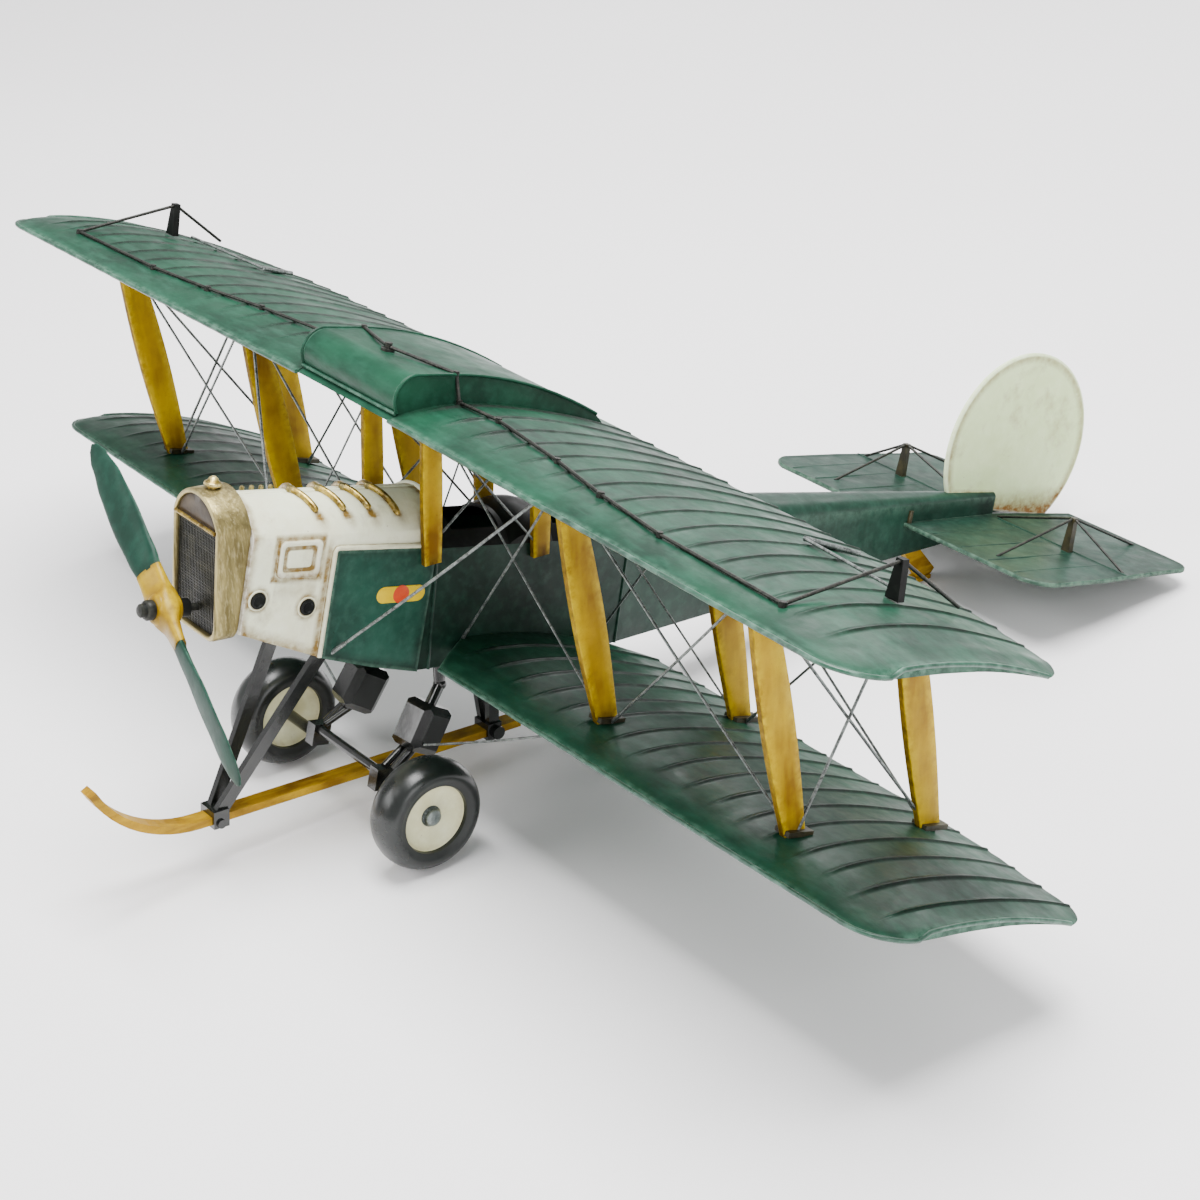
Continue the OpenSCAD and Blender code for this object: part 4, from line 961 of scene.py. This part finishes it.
# header tank behind the arch, and its bar
ring = [(x, max(z, BARZ)) for x, z in rad_ring(1.6)]
loops = [[leaned(x * k, y, -35 + (z + 35) * k) for x, z in ring]
         for y, k in ((-43.0, 1.0), (-44.2, 1.0), (-44.55, 0.985), (-44.7, 0.95),
                      (-44.72, 0.5), (-44.72, 0.03))]
header = loft("header", loops, M["brown"], caps=False)
pts = [leaned(x, RY - 0.1, BARZ + 0.45) for x in (-11.7, -6, 0, 6, 11.7)]
bar = tube("header_bar", pts, 0.62, M["gold"], 12)
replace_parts(join("header_tank_pressed", [header, bar]), "header_tank")
section = [(-0.6, 2.1), (0.3, 2.1), (0.6, 1.6), (1.7, 1.5), (1.9, 2.5), (2.3, 2.75), (2.9, 2.7), (3.2, 2.3),
           (3.6, 1.7), (4.3, 1.35), (4.8, 0.7), (4.9, 0)]
# painted shade round the foot and neck of the cap
cap = lathe("filler", section, M["gold"], (0, -41.2, -29.2), Z, 40,
            dirt=[0.8, 0.6, 0.6, 0.5, 0.2, 0, 0, 0.4, 0.2, 0, 0, 0],
            wear=[0, 0, 0, 0, 0.5, 0.9, 0.6, 0, 0, 0.7, 0.7, 0.7])
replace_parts(cap, "filler_cap")

# ---------------- strut boards
def lower_top(x, y):
    return wing_z(x, y - STAG, False, True)


def upper_under(x, y):
    return wing_z(x, y, True, False)


def board(name, x0, x1, foot, top, width, bulge, side):
    """A flat painted board with softened edges; foot and top are (y, z), bulge its width half way up.
    Its top stays inside the skin of the upper wing."""
    f, t = Vector(foot), Vector(top)
    along = (t - f).normalized()
    across = Vector((-along.y, along.x))
    xm, h, b, steps = (x0 + x1) / 2, (x1 - x0) / 2, 0.35, 40
    loops, wear, dirt = [], [], []
    for s in [i / steps for i in range(steps + 1)]:
        w = (width + (bulge - width) * sin(pi * s)) / 2
        corner = [(h - b, -w), (h - b * 0.3, -w + b * 0.3), (h, -w + b), (h, -w * 0.4)]
        half = corner + [(h + 0.12, 0)] + [(px, -pn) for px, pn in corner[::-1]]
        prof = [(-px, pn) for px, pn in half[2::-1]] + half + [(-px, pn) for px, pn in half[:2:-1]]
        lp = []
        for px, pn in prof:
            q = f + (t - f) * s + across * pn
            lp.append((side * (xm + px), q.x, min(q.y, upper_under(xm + px, q.x) + 0.6)))
            wear.append(0.75 if abs(abs(px) - h) < 0.16 and abs(pn) > w - 0.5 else 0.0)
            # painted shade at both ends, where the board meets the wings; the narrow edge faces are darker
            # all along
            ends = max(0, 1 - s / 0.10) + max(0, 1 - (1 - s) / 0.07)
            dirt.append(min(1, ends * 0.9 + (0.85 if abs(px) < h - 0.1 else 0.1)))
        loops.append(lp)
    return loft(name, loops, M["ochre_wood"], dirt=dirt, wear=wear, angle=45)


FRONT_ROW, REAR_ROW, INNER_BAY, OUTER_BAY = 19.5, 76.0, 88.0, 173.5
for sd, nm in SIDES:
    for x, pos in ((INNER_BAY, "inner"), (OUTER_BAY, "outer")):
        for row, rn in ((FRONT_ROW, "front"), (REAR_ROW, "rear")):
            top = (row, upper_under(x, row) + 0.8)
            foot = (STAG + row, lower_top(x, STAG + row) - 0.8)
            b = board(f"strut_{nm}_{pos}_{rn}_board", x - 1.2, x + 1.2, foot, top, 7.5, 11.0, sd)
            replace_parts(b, f"strut_{nm}_{pos}_{rn}")
    pair = []
    for rn, x, low, high in (("front", 15.6, 31.8, 21.6), ("rear", 14.8, 75.5, 66.0)):
        top = (high, upper_under(0, high) + 0.8)
        pair.append(board(f"cabane_{nm}_{rn}", x, x + 2.2, (low, -50.5), top, 6.4, 7.4, sd))
    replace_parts(join(f"cabane_struts_{nm}_boards", pair), f"cabane_struts_{nm}")

# ---------------- rigging wires
WIRE_OUT = 2.4          # how far a wire's end stands off the strut


def up_pin(x, row, dx):
    return (x + dx, row, upper_under(x, row) - 0.4)


def low_pin(x, row, dx):
    return (x + dx, STAG + row, lower_top(x, STAG + row) + 0.4)


def wire(a, b, r, bow):
    """A slightly bowed wire, thicker where its ends are wrapped."""
    places = (0.0, 0.03, 0.07, 0.075, 0.2, 0.35, 0.5, 0.65, 0.8, 0.925, 0.93, 0.97, 1.0)
    pts = [Vector(a).lerp(Vector(b), k) - Z * bow * sin(pi * k) for k in places]
    radii = [r * (1.45 if k <= 0.07 or k >= 0.93 else 1.0) for k in places]
    return tube("wire", pts, r, M["wire"], 12, radii=radii)


for sd, nm in SIDES:
    runs = [((17.2, 23.5, -2), low_pin(INNER_BAY, FRONT_ROW, -WIRE_OUT), 0.34, 0.5),
            ((16.6, 67, -4.5), low_pin(INNER_BAY, REAR_ROW, -WIRE_OUT), 0.34, 0.4),
            (up_pin(INNER_BAY, FRONT_ROW, -WIRE_OUT), (14.4, 0, -79.4), 0.5, 0.9),
            (up_pin(INNER_BAY, FRONT_ROW, -WIRE_OUT), (14.4, 50.7, -78.6), 0.4, 0.5),
            (up_pin(INNER_BAY, REAR_ROW, -WIRE_OUT), (14.4, 108, -81), 0.4, 0.5),
            (up_pin(OUTER_BAY, FRONT_ROW, 0), low_pin(OUTER_BAY, REAR_ROW, 0), 0.48, 0.3),
            (low_pin(OUTER_BAY, FRONT_ROW, 0.9), up_pin(OUTER_BAY, REAR_ROW, 0.9), 0.48, 0.3),
            ((20, 34, -111.5), (86, 35.5, lower_top(86, 35.5) - 0.4), 0.4, 0.6)]
    for row in (FRONT_ROW, REAR_ROW):
        runs.append((up_pin(INNER_BAY, row, WIRE_OUT), low_pin(OUTER_BAY, row, -WIRE_OUT), 0.42, 0.5))
        runs.append((low_pin(INNER_BAY, row, WIRE_OUT), up_pin(OUTER_BAY, row, -WIRE_OUT), 0.42, 0.5))
    made = [wire((sd * a[0], a[1], a[2]), (sd * b[0], b[1], b[2]), r, bow) for a, b, r, bow in runs]
    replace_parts(join(f"rigging_{nm}_wires", made), f"rigging_{nm}")

# ---------------- tailplane
TZ, TF, TR, TH = -52.8, 255.5, 347.0, 74.0            # height, front, back and half span


def corner(cx, cy, r, a0, a1):
    """Eleven points of a rounded corner, from angle a0 to a1."""
    return [(cx + r * cos(a), cy + r * sin(a)) for a in [radians(a0 + (a1 - a0) * i / 10) for i in range(11)]]


plan = [(5.2, TF), (54, TF + 1)] + corner(61, TF + 14, 13.5, -75, -15) + [(TH, TF + 39), (71.5, TR - 17)]
plan += corner(64, TR - 8, 7.5, 10, 80) + [(57.6, TR), (7.2, TR), (2.6, TR - 32), (2.1, 307)]
ring = []
for (xa, ya), (xb, yb) in zip(plan, plan[1:] + plan[:1]):
    k = max(1, int(hypot(xb - xa, yb - ya) / 3.0))
    ring += [(xa + (xb - xa) * i / k, ya + (yb - ya) * i / k) for i in range(k)]
# rolled edge, groove and flat middle: distance in from the edge, height, wear and dirt (painted shade under
# the rolled edge and in the groove)
steps = ((0.3, -0.8, 0.2, 0.5), (0.0, -0.45, 0.7, 0.3), (0.0, 0.45, 0.8, 0.1), (0.35, 0.82, 0.6, 0.1),
         (0.9, 0.84, 0.1, 0.75), (1.5, 0.72, 0, 0.35), (5, 0.74, 0, 0.0), (14, 0.8, 0, 0.0),
         (30, 0.8, 0, 0.0))
cx, cy = 36.0, 300.0
tail = []
for sd in (1, -1):
    loops, wear, dirt = [], [], []
    for ins, z, wv, dv in steps:
        lp = []
        for x, y in ring:
            k = max(0.02, 1 - ins / hypot(x - cx, y - cy))
            uneven = 0.12 * sin(x * 0.2) * (ins > 4)
            lp.append((sd * (cx + (x - cx) * k), cy + (y - cy) * k, TZ + z + uneven))
            wear.append(wv)
            # painted shade near the root, against the body
            dirt.append(dv + (0.4 if x < 12 else 0))
        loops.append(lp)
    half = loft("tailplane_half", loops, M["tail_green"], dirt=dirt, wear=wear, angle=45)
    # hinge line of the elevator, and the pressed ribs in front of it
    pts = [(sd * 8, 305.0, TZ + 0.75), (sd * 40, 305.5, TZ + 0.8), (sd * 72.5, 306.0, TZ + 0.72)]
    tail += [half, tube("hinge", pts, 0.5, M["tail_green"], 8)]
    for x0 in (18, 33, 47, 60):
        pts = [(sd * x0, TF + 3, TZ + 0.6), (sd * (x0 + 0.5), 280, TZ + 0.72), (sd * (x0 + 1), 303, TZ + 0.6)]
        tail.append(tube("tail_rib", pts, 0.35, M["tail_green"], 8))
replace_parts(join("tailplane_pressed", tail), "tailplane")

# ---------------- rudder: a disc with a cut-out foot
RUDDER_FOOT = [(277, -43.6), (306.6, -45.2), (308.2, -51.4), (345, -55.4)]
ring = [(y, max(z, lookup(y, RUDDER_FOOT)))
        for y, z in [(RUDDER[0] + RUDDER_R * cos(a), RUDDER[1] + RUDDER_R * sin(a))
                     for a in [2 * pi * i / 160 for i in range(160)]]]


def rudder_side(name, steps, worn, foot, reach, power, groove):
    """One face of the rudder: loops of its outline, drawn in towards the middle by k, at x."""
    cy, cz = 313.0, -24.0
    loops, wear, dirt = [], [], []
    for k, x in steps:
        loops.append([(x, cy + (y - cy) * k, cz + (z - cz) * k) for y, z in ring])
        for _, _, z in loops[-1]:
            wear.append(worn * (0.98 < k <= 1))
            # rust at the foot; painted shade in the groove inside the rim
            darken = foot * max(0, 1 - (z + (52 if worn else 50)) / reach) ** power
            dirt.append(min(1, darken + groove * (0.94 < k < 0.97)))
    return loft(name, loops, M["rudder"], dirt=dirt, wear=wear, angle=45, caps=False)


port = ((0.985, -0.9), (1.0, -0.45), (1.0, 0.45), (0.985, 0.92), (0.965, 0.95), (0.945, 0.82), (0.88, 0.83),
        (0.8, 0.84), (0.7, 0.87), (0.6, 0.9), (0.5, 0.92), (0.4, 0.93), (0.2, 0.95), (0.0005, 0.95))
starboard = ((0.985, -0.9), (0.965, -0.93), (0.945, -0.82), (0.8, -0.84), (0.6, -0.88), (0.4, -0.9),
             (0.2, -0.9), (0.0005, -0.9))
sides = [rudder_side("rudder_half", port, 0.5, 1, 10, 1.1, 0.5),
         rudder_side("rudder_back", starboard, 0.0, 0.85, 9, 1.2, 0.35)]
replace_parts(join("rudder_pressed", sides), "rudder")

# ---------------- wheels
for sd, nm in SIDES:
    c, ax = (sd * 42.5, *AXLE), (sd, 0, 0)
    # the tyre's section, from the inner bead over the tread to the outer bead
    tread = [(7.1 * cos(a), 14.45 + 4.1 * sin(a)) for a in [radians(200 - 220 * i / 32) for i in range(33)]]
    # painted shade at the beads, where the tyre meets the disc
    dirt = [0.5] + [0.3 if r < 11.6 else 0.1 for _, r in tread] + [0.5, 0.9, 0.9]
    section = [(-6.2, 11.5)] + tread + [(6.2, 11.5), (5.0, 11.2), (-5.0, 11.2)]
    tyre = lathe(f"tyre_{nm}_rubber", section, M["tyre"], c, ax, 128, dirt=dirt, closed=True)
    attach(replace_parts(tyre, f"tyre_{nm}"), f"{nm}_wheel")
    # the disc's outer face: distance along the axle, radius and dirt (painted shade at the rim against the
    # tyre and at the middle under the hub cap); the inner face is its mirror
    face = [(3.2, 0.9, 0.7), (3.25, 2.2, 0.5), (3.0, 3.4, 0.3), (2.75, 5.0, 0.15), (2.8, 8.0, 0.1),
            (3.4, 9.9, 0.2), (4.4, 10.9, 0.5), (5.1, 11.3, 0.3), (4.9, 11.6, 1.0), (2.6, 11.6, 1.0)]
    section = [(d, r) for d, r, _ in face] + [(-d, r) for d, r, _ in face[::-1]]
    dirt = [v for _, _, v in face + face[::-1]]
    disc = lathe(f"wheel_disc_{nm}_dished", section, M["disc"], c, ax, 96, dirt=dirt, closed=True)
    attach(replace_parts(disc, f"wheel_disc_{nm}"), f"{nm}_wheel")
    section = [(2.6, 3.6), (3.3, 3.5), (3.7, 3.0), (4.1, 2.8), (4.9, 2.6), (5.3, 2.0), (5.5, 1.2), (5.5, 0)]
    # painted shade at the cap's foot against the disc and in its groove
    hub = lathe(f"hub_cap_{nm}_turned", section, M["cap"], c, ax, 40,
                dirt=[0.9, 0.6, 0.3, 0.6, 0.1, 0, 0, 0], wear=[0, 0, 0, 0, 0.5, 0.6, 0.4, 0.2])
    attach(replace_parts(hub, f"hub_cap_{nm}"), f"{nm}_wheel")

# ---------------- CAD pieces that keep their own shape
# by material: each node with the width its edges are rounded by, in millimetres
KEEP = {
    "black": {"mid_deck": 0.35, "aileron_horns": 0.25},
    "brown": {"cockpit_seats": 0.3},
    "olive": {"strut_fittings": 0.3, "tail_kingposts": 0.25},
    "wire": {"centre_wires": 0, "aileron_rods": 0},
    "dark_wire": {"aileron_cable_left": 0, "aileron_cable_right": 0, "cable_pulleys": 0, "tail_wires": 0,
                  "prop_shaft": 0},
    "skid_wood": {"tail_skid": 0.5, "landing_skid": 0.55},
    "gloss": {"front_v_struts": 0.5, "rear_skid_struts": 0.5, "leg_tubes": 0.2, "shock_boxes": 0.5,
              "axle": 0.35},
}
for key, kept in KEEP.items():
    for node, width in kept.items():
        assign(nodes[node], M[key])
        if width:
            soften(node, width)

# ---------------- floor, world and light
FLOOR_HALF, FLOOR_Z = 6, -0.0004          # in metres; just below the tyres
corners = [(a * FLOOR_HALF, b * FLOOR_HALF, FLOOR_Z) for a, b in ((-1, -1), (1, -1), (1, 1), (-1, 1))]
sheet = bpy.data.meshes.new("floor")
sheet.from_pydata(corners, [], [(0, 1, 2, 3)])
floor = place(bpy.data.objects.new("floor", sheet))
t = Tree("floor_paint")
v = t.noise(3.0, 3, 0.5)
c = t.mix(t.ramp(v, [(0.3, 0.0), (0.7, 1.0)]), lin((250, 248, 249)), lin((252, 251, 252)))
rough = t.ramp(v, [(0.3, 0.6), (0.7, 0.66)])
assign(floor, t.finish(c, rough, 0.0, t.bump(t.noise(240, 2, 0.5), 0.05, 0.0002)))
floor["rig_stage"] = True

world = bpy.data.worlds.new("studio")
bpy.context.scene.world = world
world.use_nodes = True
bg = world.node_tree.nodes["Background"]
bg.inputs[0].default_value = (1.0, 0.99, 0.995, 1)
bg.inputs[1].default_value = 0.75


def area(name, loc, target, size, power):
    """A soft light at loc that faces target."""
    d = bpy.data.lights.new(name, "AREA")
    d.shape = "RECTANGLE"
    d.size, d.size_y = size
    d.energy = power
    o = place(bpy.data.objects.new(name, d))
    o.location = loc
    o.rotation_euler = (Vector(target) - Vector(loc)).to_track_quat("-Z", "Y").to_euler()
    o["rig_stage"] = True


area("top", (0.1, 0.0, 1.5), (0, 0, 0.05), (1.0, 1.0), 60)
area("left", (-0.6, -1.3, 0.9), (0, 0, 0.07), (0.9, 0.9), 15)
area("right", (1.5, -0.3, 0.7), (0, 0, 0.07), (0.9, 0.9), 10)
area("behind", (-0.7, 1.2, 0.9), (0, 0, 0.06), (0.9, 0.6), 10)

for ob in [o for o in bpy.data.objects if o.type == "MESH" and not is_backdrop(o)]:
    if body_of(ob) is None:
        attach(ob, "airframe")
